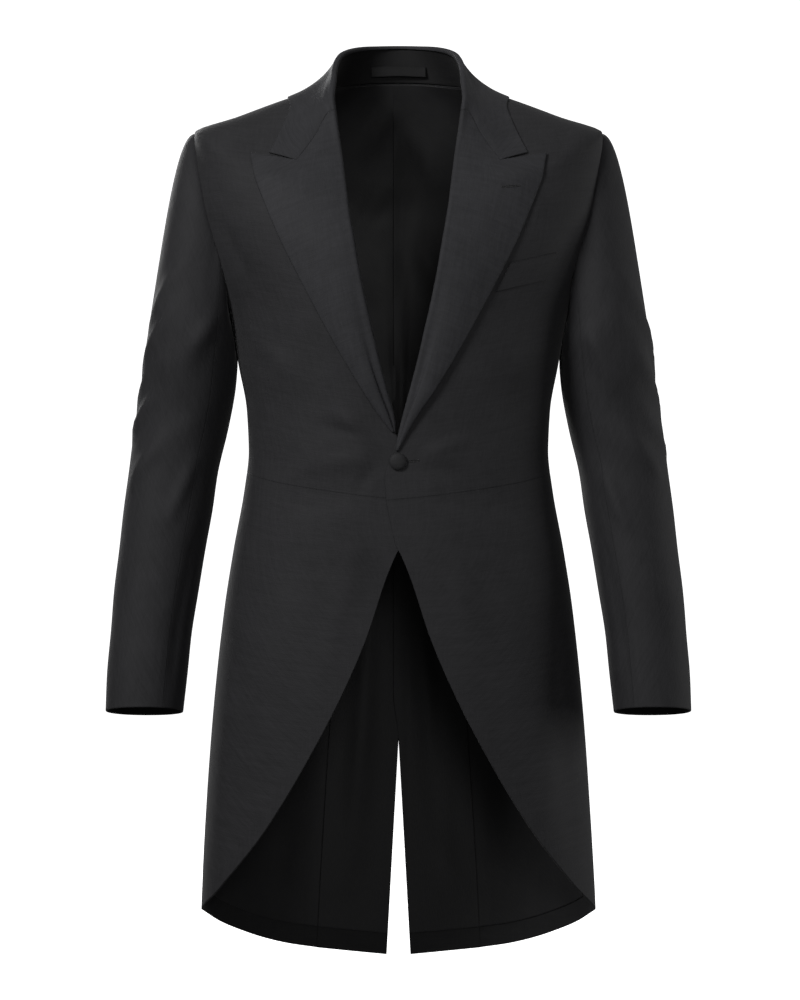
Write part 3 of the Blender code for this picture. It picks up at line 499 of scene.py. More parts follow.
def side_places():
    """Places of the side body, between the side seam and the back seam."""
    left = np.stack([np.full(len(SEAM_LINE), SIDE_SEAM),
                     np.linspace(WAIST_LEVEL, ARMHOLE_CORNER[1], len(SEAM_LINE))], -1)
    top = BACK_ARMHOLE[BACK_TURN:][::-1]
    share = np.linspace(0, 1, SIDE_STEPS * TIMES + 1)
    bottom = np.stack([SIDE_SEAM + (WAIST_PHI - SIDE_SEAM) * share, 0 * share + WAIST_LEVEL], -1)
    return between(bottom, top, left, SEAM_LINE)


def skirt_places():
    """Places from the waist seam down to the hem, ending with the hem's turn-up."""
    top = joined(front_places()[0], side_places()[0])
    hem = [locate(x, z) for x, z in SKIRT_FRONT_HEM] + [locate(x, z, True) for x, z in SKIRT_BACK_HEM]
    hem = fine_line(hem, (9,))
    length = np.linalg.norm(form(hem[:, 0], hem[:, 1]) - form(top[:, 0], top[:, 1]), axis=-1)
    turn = 1 - TURN_UP / length
    steps = np.linspace(0, 1, SKIRT_STEPS * TIMES + 1)[:, None] * turn[None]
    rest = turn[None] + (1 - turn[None]) * np.linspace(0, 1, TIMES + 1)[1:, None]
    steps = np.vstack([steps, rest])[..., None]
    return top[None] * (1 - steps) + hem[None] * steps


def back_places():
    """Places from the pleat, back seam and armhole to the centre back, hem to neck."""
    pleat = skirt_places()[::-1, -1]
    start = joined(pleat, SEAM_LINE, BACK_ARMHOLE[:BACK_TURN + 1][::-1], fine_line(SHOULDER_LINE))
    low = np.interp(pleat[:, 1], [pleat[0, 1], WAIST_LEVEL], [BACK_HEM_LEVEL, WAIST_LEVEL])
    upper = np.interp(np.arange(1, len(start) - len(low) + 1) / TIMES, np.arange(len(CENTRE_LEVELS) + 1),
                      [WAIST_LEVEL] + CENTRE_LEVELS)
    centre = []
    for level in np.concatenate([low, upper]):
        spread = VENT_SPREAD * max(0.0, (VENT_TOP - level) / (VENT_TOP - BACK_HEM_LEVEL))
        centre.append((phi_at(max(spread, 1e-6), level, True), level))
    return ruled(start, np.array(centre), 7 * TIMES)


# Meshes and cloth sheets
EDGE_STEPS = (0.0007, 0.0022)
# EDGE_REACH is the width of the band of painted edge shade along each sheet.
EDGE_REACH = 0.0024


def placed(name, data):
    """A new object in the scene."""
    made = bpy.data.objects.new(name, data)
    bpy.context.scene.collection.objects.link(made)
    return made


def worn(name, mesh, node=None):
    """A finished piece, which rides on the coat and may take the place of a node."""
    made = placed(name, mesh)
    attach(made, "root")
    if node:
        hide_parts(node)
    return made


def smooth_mesh(name, points, faces, *finishes):
    """A mesh with smooth faces and its materials."""
    mesh = bpy.data.meshes.new(name)
    mesh.from_pydata(np.asarray(points, float).tolist(), [], faces)
    mesh.update()
    for finish in finishes:
        mesh.materials.append(finish)
    mesh.polygons.foreach_set("use_smooth", np.ones(len(faces), bool))
    return mesh


def turned_faces(rings, around):
    """Faces between rings of points, each with this many points."""
    return [(i * around + j, i * around + (j + 1) % around, (i + 1) * around + (j + 1) % around,
             (i + 1) * around + j) for i in range(rings - 1) for j in range(around)]


def close_to_edges(rows):
    """Add rows a hair inside both ends of a grid, so that its edges are drawn crisply."""
    start = np.linalg.norm(rows[0, :, :3] - rows[1, :, :3], axis=-1).mean()
    end = np.linalg.norm(rows[-1, :, :3] - rows[-2, :, :3], axis=-1).mean()
    first = [rows[:1] + (rows[1:2] - rows[:1]) * d / start for d in EDGE_STEPS if d < 0.8 * start]
    last = [rows[-1:] + (rows[-2:-1] - rows[-1:]) * d / end for d in EDGE_STEPS[::-1] if d < 0.8 * end]
    return np.concatenate([rows[:1]] + first + [rows[1:-1]] + last + [rows[-1:]])


def edge_distance(middle):
    """How far each point of a grid lies from the sheet's nearest edge."""
    across = np.linalg.norm(np.diff(middle, axis=1), axis=-1)
    up = np.linalg.norm(np.diff(middle, axis=0), axis=-1)
    u = np.concatenate([np.zeros((len(middle), 1)), np.cumsum(across, 1)], 1)
    v = np.concatenate([np.zeros((1, middle.shape[1])), np.cumsum(up, 0)], 0)
    near = np.minimum(np.minimum(u, u[:, -1:] - u), np.minimum(v, v[-1:] - v))
    return near, u, v


def sheet_mesh(name, middle, out, thickness, outside, inside, press, rim):
    """A cloth sheet with UVs in metres along the cloth and an edge attribute.

    The cloth thins to the share rim of its thickness over the width press at its edges.
    """
    both = close_to_edges(np.concatenate([middle, out], axis=-1))
    both = np.moveaxis(close_to_edges(np.moveaxis(both, 1, 0)), 0, 1)
    middle, out = both[..., :3], both[..., 3:]
    rows, columns = middle.shape[:2]
    near, u, v = edge_distance(middle)
    round_off = np.clip(near / press, 0, 1)
    half = thickness / 2 * (rim + (1 - rim) * np.sqrt(np.clip(1 - (1 - round_off) ** 2, 0, 1)))
    outer = middle + out * half[..., None]
    inner = middle - out * half[..., None]
    points = np.vstack([outer.reshape(-1, 3), inner.reshape(-1, 3)])
    count = rows * columns
    index = np.arange(count).reshape(rows, columns)
    a, b, c, d = index[:-1, :-1], index[:-1, 1:], index[1:, 1:], index[1:, :-1]
    front = np.stack([a, b, c, d], -1).reshape(-1, 4)
    back = front[:, ::-1] + count
    rim = np.concatenate([index[0], index[1:, -1], index[-1, -2::-1], index[-2:0:-1, 0]])
    after = np.roll(rim, -1)
    ring = np.stack([after, rim, rim + count, after + count], -1)
    faces = np.vstack([front, back, ring])
    a, b, c, d = (points[faces[:, i]] for i in range(4))
    volume = np.einsum("ij,ij->i", a, np.cross(b, c)) + np.einsum("ij,ij->i", a, np.cross(c, d))
    if volume.sum() < 0:
        faces = faces[:, ::-1]
    mesh = smooth_mesh(name, points, faces.tolist(), outside, inside)
    choice = np.zeros(len(faces), int)
    choice[len(front):2 * len(front)] = 1
    mesh.polygons.foreach_set("material_index", choice)
    place = np.stack([np.tile(u.ravel(), 2), np.tile(v.ravel(), 2)], -1)
    loops = np.zeros(len(mesh.loops), int)
    mesh.loops.foreach_get("vertex_index", loops)
    uv = mesh.uv_layers.new(name="UVMap")
    uv.data.foreach_set("uv", place[loops].ravel())
    # Edge rises to 1 at the sheet's rim; the finishes darken the colour with it as painted shade and
    # pucker the bump with it.
    edge = mesh.attributes.new("edge", "FLOAT", "POINT")
    edge.data.foreach_set("value", np.tile(np.clip(1 - near / EDGE_REACH, 0, 1).ravel(), 2))
    return worn(name, mesh, name.replace("_cloth", ""))


# Finishes
class Wire:
    """A shader value that takes part in Python sums."""

    def __init__(self, finish, socket):
        self.finish = finish
        self.socket = socket

    def sum_with(self, operation, first, second):
        return self.finish.node("ShaderNodeMath", {"operation": operation}, [first, second])

    def __add__(self, other):
        return self.sum_with("ADD", self, other)

    __radd__ = __add__

    def __mul__(self, other):
        return self.sum_with("MULTIPLY", self, other)

    __rmul__ = __mul__

    def __sub__(self, other):
        return self.sum_with("SUBTRACT", self, other)

    def __rsub__(self, other):
        return self.sum_with("SUBTRACT", other, self)


class Finish:
    """A node material for one of the coat's cloths."""

    def __init__(self, name, roughness, **constants):
        self.material = bpy.data.materials.new(name)
        self.material.use_nodes = True
        self.tree = self.material.node_tree
        self.shader = self.tree.nodes["Principled BSDF"]
        self.shader.inputs["Roughness"].default_value = roughness
        for key, value in constants.items():
            self.shader.inputs[key.replace("_", " ")].default_value = value

    def node(self, kind, settings=None, values=(), output=0):
        """Add a node: its settings first, then the values or links of its sockets."""
        made = self.tree.nodes.new(kind)
        for key, value in (settings or {}).items():
            if key == "stops":
                for stop, (place, colour) in zip(made.color_ramp.elements, value):
                    stop.position = place
                    stop.color = colour
            else:
                setattr(made, key, value)
        pairs = values.items() if isinstance(values, dict) else enumerate(values)
        for key, value in pairs:
            if isinstance(value, Wire):
                self.tree.links.new(value.socket, made.inputs[key])
            else:
                made.inputs[key].default_value = value
        return Wire(self, made.outputs[output])

    def object_place(self):
        return self.node("ShaderNodeTexCoord", output="Object")

    def cloth_place(self):
        return self.node("ShaderNodeUVMap", {"uv_map": "UVMap"})

    def edge(self):
        return self.node("ShaderNodeAttribute", {"attribute_name": "edge"}, output="Fac")

    def noise(self, place, scale, detail=3.0, stretch=(1.0, 1.0, 1.0)):
        moved = self.node("ShaderNodeMapping", {}, {"Vector": place, "Scale": stretch})
        return self.node("ShaderNodeTexNoise", {}, {"Vector": moved, "Scale": scale, "Detail": detail})

    def colour_between(self, factor, low, high):
        return self.node("ShaderNodeMix", {"data_type": "RGBA"}, {0: factor, 6: low, 7: high}, output=2)

    def feed(self, socket, wire):
        self.tree.links.new(wire.socket, self.shader.inputs[socket])

    def bump(self, height, strength, distance):
        values = {"Height": height, "Strength": strength, "Distance": distance}
        self.feed("Normal", self.node("ShaderNodeBump", {}, values))


def suiting(name, dark, light, rough=0.74):
    """Fine worsted: warp and weft yarns, faint twill, soft mottling, painted shade darkening the colour
    along edges and seams, and puckered edges.
    """
    finish = Finish(name, rough, Sheen_Weight=0.07, Sheen_Roughness=0.40, Specular_IOR_Level=0.30)
    cloth = finish.cloth_place()
    place = finish.object_place()
    warp = finish.noise(cloth, 900.0, 1.0, (1.0, 0.16, 1.0))
    weft = finish.noise(cloth, 760.0, 1.0, (0.16, 1.0, 1.0))
    slub = finish.noise(cloth, 260.0, 3.0, (1.0, 0.12, 1.0))
    rib = finish.noise(cloth, 210.0, 3.0, (0.10, 1.0, 1.0))
    mottle = finish.noise(place, 9.0, 4.0)
    turned = finish.node("ShaderNodeMapping", {}, {"Vector": cloth, "Rotation": (0.0, 0.0, 0.86)})
    waves = {"Vector": turned, "Scale": 380.0, "Distortion": 3.0, "Detail": 2.0}
    twill = finish.node("ShaderNodeTexWave", {"wave_type": "BANDS"}, waves, output="Fac")
    patch = finish.noise(place, 42.0, 3.0)
    tone = 0.30 * warp + 0.26 * weft + 0.50 * slub + 0.42 * rib + 0.40 * mottle + 0.24 * patch - 0.58
    edge = finish.edge()
    # Painted shade: the colour darkens next to each sheet's edges, standing in for the shadow in seams
    # and beside lifted edges.
    shade = tone + 0.05 * twill - 0.34 * edge * edge
    finish.feed("Base Color", finish.colour_between(shade, dark, light))
    finish.feed("Roughness", rough + 0.12 * slub - 0.06)
    pucker = finish.noise(cloth, 110.0, 2.0) * edge
    height = 0.5 * warp + 0.5 * weft + 0.35 * slub + 0.3 * rib + 1.0 * pucker + 0.06 * twill
    finish.bump(height + 2.2 * finish.noise(place, 24.0, 3.0), 0.40, 0.0007)
    return finish.material


def satin(name, dark, light):
    """Lining satin: fine ribs, a soft shine and faint rumpling."""
    finish = Finish(name, 0.50, Specular_IOR_Level=0.32, Sheen_Weight=0.05)
    cloth = finish.cloth_place()
    place = finish.object_place()
    rib = finish.noise(cloth, 900.0, 1.0, (1.0, 0.15, 1.0))
    mottle = finish.noise(place, 22.0, 3.0)
    finish.feed("Base Color", finish.colour_between(0.5 * rib + 0.6 * mottle - 0.05, dark, light))
    finish.feed("Roughness", 0.46 + 0.16 * mottle)
    rumple = finish.noise(place, 26.0, 3.0, (1.0, 1.0, 0.35))
    finish.bump(0.15 * rib + 1.4 * rumple, 0.45, 0.0016)
    return finish.material


def thread(name, dark, light):
    """Twisted silk thread."""
    finish = Finish(name, 0.58, Sheen_Weight=0.10)
    twist = finish.noise(finish.object_place(), 1400.0, 1.0)
    finish.feed("Base Color", finish.colour_between(twist, dark, light))
    finish.feed("Roughness", 0.50 + 0.2 * twist)
    finish.bump(twist, 0.5, 0.0002)
    return finish.material


def stage_white(name, strength):
    """Even white for the backdrop."""
    finish = Finish(name, 0.9)
    finish.shader.inputs["Base Color"].default_value = (0.9, 0.9, 0.9, 1.0)
    finish.shader.inputs["Emission Color"].default_value = (1.0, 1.0, 1.0, 1.0)
    finish.shader.inputs["Emission Strength"].default_value = strength
    return finish.material


# Pieces: those made so far, the overlap of sewn edges, the thickness of turned-over cloth, how its rolls
# and outer edges stand off the body, and the lining's ease pleat
MADE = {}
SEWN = 0.0002
TURNED = 0.0015
LEAF_RADIUS = 0.0030
LEAF_EDGE = 0.0023
LAPEL_EDGE = 0.0022
PLEAT_STEP = 0.0015
PLEAT_LAP = 0.0060


def add_cloth(node, middle, out, side, thickness, finish, inside=None, pressed=False):
    """Build one panel, mirror it to its side, ride it on the coat and keep its grid."""
    middle = middle * (side, 1, 1)
    out = out * (side, 1, 1)
    press, rim = (0.0030, 0.66) if pressed else (0.0008, 0.72)
    made = sheet_mesh(f"{node}_cloth", middle, out, thickness, finish, inside or finish,
                      press, rim)
    MADE[node] = (made, middle, out, thickness)
    return made


def side_name(side):
    """The wearer's side: left is at +X."""
    return "left" if side > 0 else "right"


def add_panels(side, wool, painted_shade_inside, lining):
    """Front, side body, skirt and back of one side, and the linings that show."""
    name = side_name(side)
    # The skirt and back take the painted-shade copy of the worsted on their inner faces.
    for node, places, edges, inside in (("front", front_places(), "nsew", lining),
                                        ("side_body", side_places(), "nsew", lining),
                                        ("skirt", skirt_places(), "new", painted_shade_inside),
                                        ("back", back_places(), "nsew", painted_shade_inside)):
        middle, out = laid(places, side, BODY_FOLDS)
        if node == "skirt":
            middle = pull_in(middle[::-1], -SEWN, edges)[::-1]
        else:
            middle = pull_in(middle, -SEWN, edges)
        add_cloth(f"{node}_{name}", middle, out, side, CLOTH, wool, inside)
    inward = -(CLOTH / 2 + LAYER_GAP + LINING / 2)
    for node, places in (("lining_back", back_places()[TIMES:]),
                         ("lining_skirt", skirt_places()[:-TIMES, TIMES:])):
        base, out = laid(places, side, BODY_FOLDS)
        rumple = np.minimum(fold_height(base, places[..., 0], side, LINING_CREASES), 0)
        if node == "lining_back" and side > 0:
            rumple = rumple - PLEAT_STEP * smooth_step(1 - base[..., 0] / 0.014)
        middle = pull_in(base + out * (inward + rumple)[..., None], 0.0001)
        if node == "lining_back" and side > 0:
            middle, out = lap_over(middle, out, places[:, -1, 1])
        add_cloth(f"{node}_{name}", middle, out, side, LINING, lining, None)


def lap_over(middle, out, levels):
    """Ease pleat: the left lining laps over the right one down the centre back, above the vent."""
    reach = PLEAT_LAP * smooth_step((levels - VENT_TOP) / 0.05) + 0.0003
    ahead = unit(middle[:, -1] - middle[:, -2])
    extra = [middle[:, -1] + ahead * (reach * t)[:, None] for t in (0.34, 0.67, 1.0)]
    middle = np.concatenate([middle, np.stack(extra, 1)], axis=1)
    return middle, np.concatenate([out, np.repeat(out[:, -1:], 3, axis=1)], axis=1)


def fine_sheet(rows, directions=None, corner=None):
    """A finer grid of points with outward directions; corner is how sharp column 5 is at each row."""
    rows = np.array(rows, float)
    middle = refine(rows, TIMES)
    if corner is not None:
        spread = np.arange(len(middle)) / TIMES
        share = np.interp(spread, np.arange(len(corner)), corner)[:, None, None]
        middle = middle * (1 - share) + refine(rows, TIMES, (), (5,)) * share
    out = grid_facing(middle)
    if directions is not None:
        guide = refine(np.array(directions, float), TIMES)
        out = out * (1 if np.sum(out * guide) > 0 else -1)
    return middle, out


def roll_over(edge, across, out, turned, radius):
    """Points and directions of cloth that turns over an edge, from behind it to its front."""
    points, directions = [], []
    for j in range(3):
        turn = math.radians(90 - (180 - 60 * j) * turned)
        ray = out * math.sin(turn) - across * math.cos(turn)
        points.append(edge + ray * radius + across * 0.0007 * j * (1 - turned))
        directions.append(ray)
    points.append(edge + out * radius + across * (0.0022 + 0.002 * turned))
    directions.append(out)
    return points, directions


def lapel_spine(side):
    """Front edge of the front panel beside the lapel, with its frame."""
    edge, out = laid(np.array(ROLL), side, FOLDS)
    tangent = unit(np.gradient(edge, axis=0))
    across = unit(np.cross(tangent, out))
    return edge, across * np.where(across[:, :1] > 0, 1, -1), out


def add_lapel(side, painted_light_facing_wool):
    """Lapel turned over the front's edge, from the button to the gorge and the peak."""
    edge, across, out = lapel_spine(side)
    first = 0 if side > 0 else 1
    top_start = np.array([LAPEL_ROWS[-1, 0] + ROLL_RADIUS, LAPEL_ROWS[-1, 1]])
    top_end = np.array(GORGE[-1])
    rows, directions = [], []
    edge_lift = 0.0022 if side > 0 else 0.0007
    for k in range(first, len(LAPEL_ROWS)):
        x, z, _, outer_x, outer_z, turned, lift = LAPEL_ROWS[k]
        radius = 0.0022 + 0.0010 * smooth_step(k / 7)
        points, faces = roll_over(edge[k], across[k], out[k], turned, radius)
        start = np.array([x + ROLL_RADIUS * turned, z])
        end = np.array([outer_x, outer_z])
        bulge = 0.0012 + 0.0025 * math.exp(-((k - 4) / 3) ** 2)
        lift = 0.6 * lift + edge_lift * math.sin(math.pi * min(k / 10, 1.0))
        for share, corner in zip(LAPEL_ACROSS, GORGE):
            flat = start * (1 - share) + end * share
            bend = np.array(corner) - top_start * (1 - share) - top_end * share
            point, face = laid(locate(*(flat + bend * LAPEL_BEND[k])), side)
            rise = radius + (LAPEL_EDGE - radius + lift) * share ** 2 + bulge * math.sin(math.pi * share)
            points.append(point + face * rise)
            faces.append(face)
        rows.append(points)
        directions.append(faces)
    rows, directions = np.array(rows), np.array(directions)
    if side < 0:
        rows[0] = rows[0] * 0.7 + rows[1] * 0.3
    tip = rows[0].mean(0)
    rows[0] = tip + (rows[0] - tip) * 0.40
    if side > 0:
        rows[0, :, 2] -= 0.0035
    middle, out = fine_sheet(rows, directions, np.array(LAPEL_BEND[first:]) ** 2)
    # The lapel takes the painted-light copy of the worsted.
    add_cloth(f"lapel_{side_name(side)}", pull_in(middle, 0.0001, "n"), out, side, TURNED, painted_light_facing_wool,
              pressed=True)


def collar_half():
    """Stand and leaf of the wearer's left half, station by station towards the centre back."""
    spine, across0, out0 = lapel_spine(1)
    seam = body(COLLAR[:, 3], np.full(len(COLLAR), NECK_LEVEL), 1)
    top = COLLAR[:, :3].copy()
    top[0] = spine[-1] + (0, 0, 0.0012)
    seam[0] = spine[-1]
    line = np.vstack([spine[-2], top])
    tangent = unit(np.gradient(np.vstack([line, top[-2] * (-1, 1, 1)]), axis=0)[:-1])
    leaf, leaf_out, stand = [], [], []
    down = np.vstack([across0[-2], np.zeros((len(top), 3))])
    for k in range(len(top)):
        down[k + 1] = unit(seam[k] - top[k]) if k > 1 else down[k]
    down[2] = unit(down[1] * 0.6 + down[3] * 0.4)
    down[1] = across0[-2]
    for k in range(len(line)):
        sideways = unit(down[k] - tangent[k] * np.dot(down[k], tangent[k]))
        out = unit(np.cross(tangent[k], sideways))
        if np.dot(out, line[k] - np.array([0.0, 0.02, line[k][2]])) < 0:
            out = -out
        if k == 0:
            sideways, out = across0[-2], out0[-2]
        points, faces = roll_over(line[k], sideways, out, 1.0, LEAF_RADIUS)
        if k == 0:
            for share, corner in zip(LAPEL_ACROSS, LEAF_END):
                point, face = laid(locate(*corner), 1)
                rise = LEAF_RADIUS + (0.0024 - LEAF_RADIUS) * share ** 2
                points.append(point + face * (rise + 0.0010 * math.sin(math.pi * share)))
                faces.append(face)
        else:
            x, z, back = COLLAR[k - 1, 4:]
            place = locate(x, z, bool(back)) if x > 0 else (180.0, locate(1e-6, z, True)[1])
            end, face = laid(place, 1)
            end = end + face * LEAF_EDGE
            start = points[-1]
            bend = start * 0.72 + end * 0.28
            bend[2] = start[2] * 0.30 + end[2] * 0.70
            bend = bend + face * 0.0026
            for t in LAPEL_ACROSS:
                points.append(start * (1 - t) ** 2 + bend * 2 * t * (1 - t) + end * t * t)
                faces.append(face if t == 1.0 else unit(out * (1 - t) + face * t))
        leaf.append(points)
        leaf_out.append(faces)
    for k in range(len(top)):
        share = np.array([0.0, 0.5, 1.0])[:, None]
        stand.append(seam[k] * (1 - share) + top[k] * share)
    return np.array(leaf), np.array(leaf_out), np.array(stand)


def both_halves(half):
    """A half that ends at the centre back, joined to its mirror image."""
    return np.concatenate([half, half[::-1][1:] * (-1, 1, 1)])


def add_collar(painted_light_facing_wool, neck_cloth, loop_cloth):
    """Collar leaf, stand and hanger loop, each in one piece across the back of the neck."""
    leaf, leaf_out, stand = collar_half()
    corner = np.zeros(2 * len(leaf) - 1)
    corner[[0, -1]] = 1
    middle, out = fine_sheet(both_halves(leaf), both_halves(leaf_out), corner)
    # The leaf takes the painted-light copy of the worsted.
    add_cloth("collar_leaf", pull_in(middle, 0.0001, "ns"), out, 1, TURNED, painted_light_facing_wool, pressed=True)
    rows = pull_in(both_halves(stand), CLOTH / 2 + 0.0004, "w")
    rows = pull_in(pull_in(rows, 0.0006, "e"), 0.0010, "ns")
    middle, out = fine_sheet(rows)
    if out[len(out) // 2, 0, 1] < 0:
        out = -out
    # The stand's cloth is the painted-shade copy of the worsted.
    add_cloth("collar_stand", middle, out, 1, CLOTH, neck_cloth)
    rows = []
    for z in np.linspace(LOOP_LOW, LOOP_HIGH, 9):
        t = np.linspace(-1, 1, 41)
        x = LOOP_HALF * t
        belly = 0.0005 * np.cos(1.2 * t) * math.cos(math.pi * (z - LOOP_LOW) / (LOOP_HIGH - LOOP_LOW))
        y = 0.0800 - 4.83 * x * x - 0.0056 - 0.0030 * (1 - t * t) - belly
        rows.append(np.stack([x, y, z + 0.0006 * np.cos(3 * t)], -1))
    rows = np.array(rows)
    # The loop takes the painted-shade copy of the worsted.
    add_cloth("hanger_loop", rows, grid_facing(rows), 1, LINING, loop_cloth, None)


def armhole_ring():
    """Armhole places from underneath, round the front, over the shoulder and down the back."""
    under = 8 * TIMES
    return np.concatenate([BACK_ARMHOLE[under:], FRONT_ARMHOLE[1:], BACK_ARMHOLE[1:under]])


def body_side_x(points):
    """Outside of the body beside a sleeve point."""
    half, side_y, front_y, back_y = np.moveaxis(section_at(points[..., 2]), -1, 0)[:4]
    reach = np.where(points[..., 1] < side_y, front_y - side_y, back_y - side_y)
    share = np.clip(np.abs((points[..., 1] - side_y) / reach), 0, 1)
    return half * (1 - share ** POWER) ** (1 / POWER)


# Sleeve: mean radius for its folds, how square its section is, and its distance from the body
SLEEVE_ROUND = 0.058
SLEEVE_SQUARENESS = 0.92
SLEEVE_CLEAR = 0.0036


def sleeve_grid(side):
    """Rings of one sleeve from the armhole to the cuff, and their outward directions."""
    start, out = laid(armhole_ring(), side, BODY_FOLDS)
    loop = np.vstack([start, start[:1]])
    run = np.concatenate([[0], np.cumsum(np.linalg.norm(np.diff(loop, axis=0), axis=-1))])
    top = 9 * TIMES
    turn = np.interp(run[:-1], [0, run[top], run[-1]], [0, 180, 360])
    angle = np.radians(turn)
    over = ((1 - np.cos(angle)) / 2)[:, None]
    hole = unit(np.cross(np.roll(start, -1, 0) - np.roll(start, 1, 0), out))
    hole = hole * np.where(np.sum(hole * (start.mean(0) - start), -1, keepdims=True) < 0, -1, 1)
    outside = smooth_step((0.62 - over) / 0.35)
    tucked = start + hole * (0.0010 * outside)
    start = start + out * (CLOTH + LAYER_GAP + 0.0002) * outside
    start = start + hole * (0.0002 + 0.0008 * np.sin(np.pi * over) ** 2)
    rings = []
    for x, y, z, half, depth in refine_rows(SLEEVE, TIMES, (), SLEEVE[:, :3]):
        ring_x = x - half * np.sign(np.cos(angle)) * np.abs(np.cos(angle)) ** SLEEVE_SQUARENESS
        ring_y = y - depth * np.sign(np.sin(angle)) * np.abs(np.sin(angle)) ** SLEEVE_SQUARENESS
        pitch = FOREARM_PITCH * smooth_step((-0.42 - z) / 0.2)
        rings.append(np.stack([ring_x, ring_y, z - (ring_y - y) * pitch], -1))
    bicep = rings[0]
    axis = unit(SLEEVE[1, :3] - SLEEVE[0, :3])
    chord = np.linalg.norm(bicep - start, axis=-1)[:, None]
    radial = np.stack([-np.cos(angle), -np.sin(angle), 0 * angle], -1)
    leave = chord * (0.36 * radial * over + np.array([0, 0, -1.0]) * (1 - over) * 0.8)
    arrive = chord * axis
    steps = np.interp(np.arange(len(CAP_STEPS) * TIMES) / TIMES, np.arange(len(CAP_STEPS) + 1),
                      CAP_STEPS + [1.0])
    cap = []
    for t in steps:
        point = eased(start, bicep, leave, arrive, t)
        point[:, 0] -= 0.0045 * math.sin(math.pi * t) * over[:, 0] ** 4
        cap.append(point)
    grid = np.array([tucked] + cap + rings)
    row = (np.arange(len(grid)) - 1) / TIMES
    fades = (smooth_step((row - len(CAP_STEPS) + 3.0) / 3.0), smooth_step((row - 1.0) / 4.0))
    for table, fade, floor in zip((SLEEVE_FOLDS, SLEEVE_CREASES), fades, (0.3, 0.0)):
        for who, turn0, z0, turn1, z1, width, height in table:
            if who not in (0, side):
                continue
            seen = np.stack([np.broadcast_to(angle * SLEEVE_ROUND, grid.shape[:2]), grid[..., 2]], -1)
            head = np.array([math.radians(turn0) * SLEEVE_ROUND, z0])
            tail = np.array([math.radians(turn1) * SLEEVE_ROUND, z1])
            swell = ridge(seen, head, tail, width, height, floor)
            grid += radial[None] * (swell * fade[:, None])[..., None]
    clear = body_side_x(grid) + SLEEVE_CLEAR
    low = (grid[..., 2] < -0.262) & (row >= 1)[:, None]
    grid[..., 0] = np.where(low, np.maximum(grid[..., 0], clear), grid[..., 0])
    ringed = np.concatenate([grid[:, -1:], grid, grid[:, :1]], axis=1)
    out = grid_facing(ringed)[:, 1:-1]
    if out[10 * TIMES, top, 0] < 0:
        out = -out
    return grid, out


def add_sleeve(side, wool, lining):
    """Top and under sleeve, cut from the same rings along the two seams."""
    grid, out = sleeve_grid(side)
    name = side_name(side)
    first, last = SLEEVE_FRONT_SEAM * TIMES, SLEEVE_BACK_SEAM * TIMES
    over = list(range(first, last + 1))
    under = list(range(last, grid.shape[1])) + list(range(0, first + 1))
    for node, columns in (("sleeve_top", over), ("sleeve_under", under)):
        middle = pull_in(grid[:, columns], -SEWN, "ew")
        add_cloth(f"{node}_{name}", middle, out[:, columns], side, CLOTH, wool, lining)


def add_welt(wool):
    """Breast pocket welt, laid on the left front."""
    low_in, low_out, high_out, high_in = (np.array(c) for c in WELT_CORNERS)
    rows, directions = [], []
    for v in np.linspace(0, 1, 15):
        row, faces = [], []
        for u in np.linspace(0, 1, 41):
            flat = (low_in * (1 - u) + low_out * u) * (1 - v) + (high_in * (1 - u) + high_out * u) * v
            point, face = laid(locate(*flat), 1, BODY_FOLDS)
            row.append(point + face * (CLOTH / 2 + 0.0005 + 0.0003 * v))
            faces.append(face)
        rows.append(row)
        directions.append(faces)
    add_cloth("breast_welt", np.array(rows), np.array(directions), 1, LINING, wool)


def add_button(cover):
    """Covered button: domed cloth drawn over a mould, gathered behind its rim."""
    point, out = laid(locate(BUTTON_X, BUTTON_Z), 1, BODY_FOLDS)
    base = point + np.array([0, -1.0, 0]) * (CLOTH / 2 + 0.0003)
    profile = [(0.0, 0.02), (0.50, 0.0), (0.82, 0.03), (0.95, 0.10), (1.0, 0.24), (0.985, 0.38),
               (0.93, 0.55), (0.83, 0.70), (0.70, 0.81), (0.52, 0.90), (0.30, 0.965), (0.12, 0.99),
               (0.0, 1.0)]
    around = 64
    points = []
    for i, (radius, height) in enumerate(profile[1:-1]):
        for j in range(around):
            turn = 2 * math.pi * j / around
            gather = 1 - 0.02 * (0.5 + 0.5 * math.sin(11 * turn)) * max(0.0, 1 - i / 4)
            points.append(base + np.array([math.cos(turn) * radius * gather * BUTTON_RADIUS,
                                           -height * BUTTON_HEIGHT,
                                           math.sin(turn) * radius * gather * BUTTON_RADIUS]))
    rings = len(profile) - 2
    faces = turned_faces(rings, around)
    points += [base + np.array([0, 0.0012, 0]), base + np.array([0, -BUTTON_HEIGHT, 0])]
    for j in range(around):
        k = (j + 1) % around
        faces.append((k, j, len(points) - 2))
        faces.append(((rings - 1) * around + j, (rings - 1) * around + k, len(points) - 1))
    mesh = smooth_mesh("button_cover", points, faces, cover)
    uv = mesh.uv_layers.new(name="UVMap")
    for loop in mesh.loops:
        place = mesh.vertices[loop.vertex_index].co
        uv.data[loop.index].uv = (place.x, place.z)
    worn("button_cover", mesh, "button")


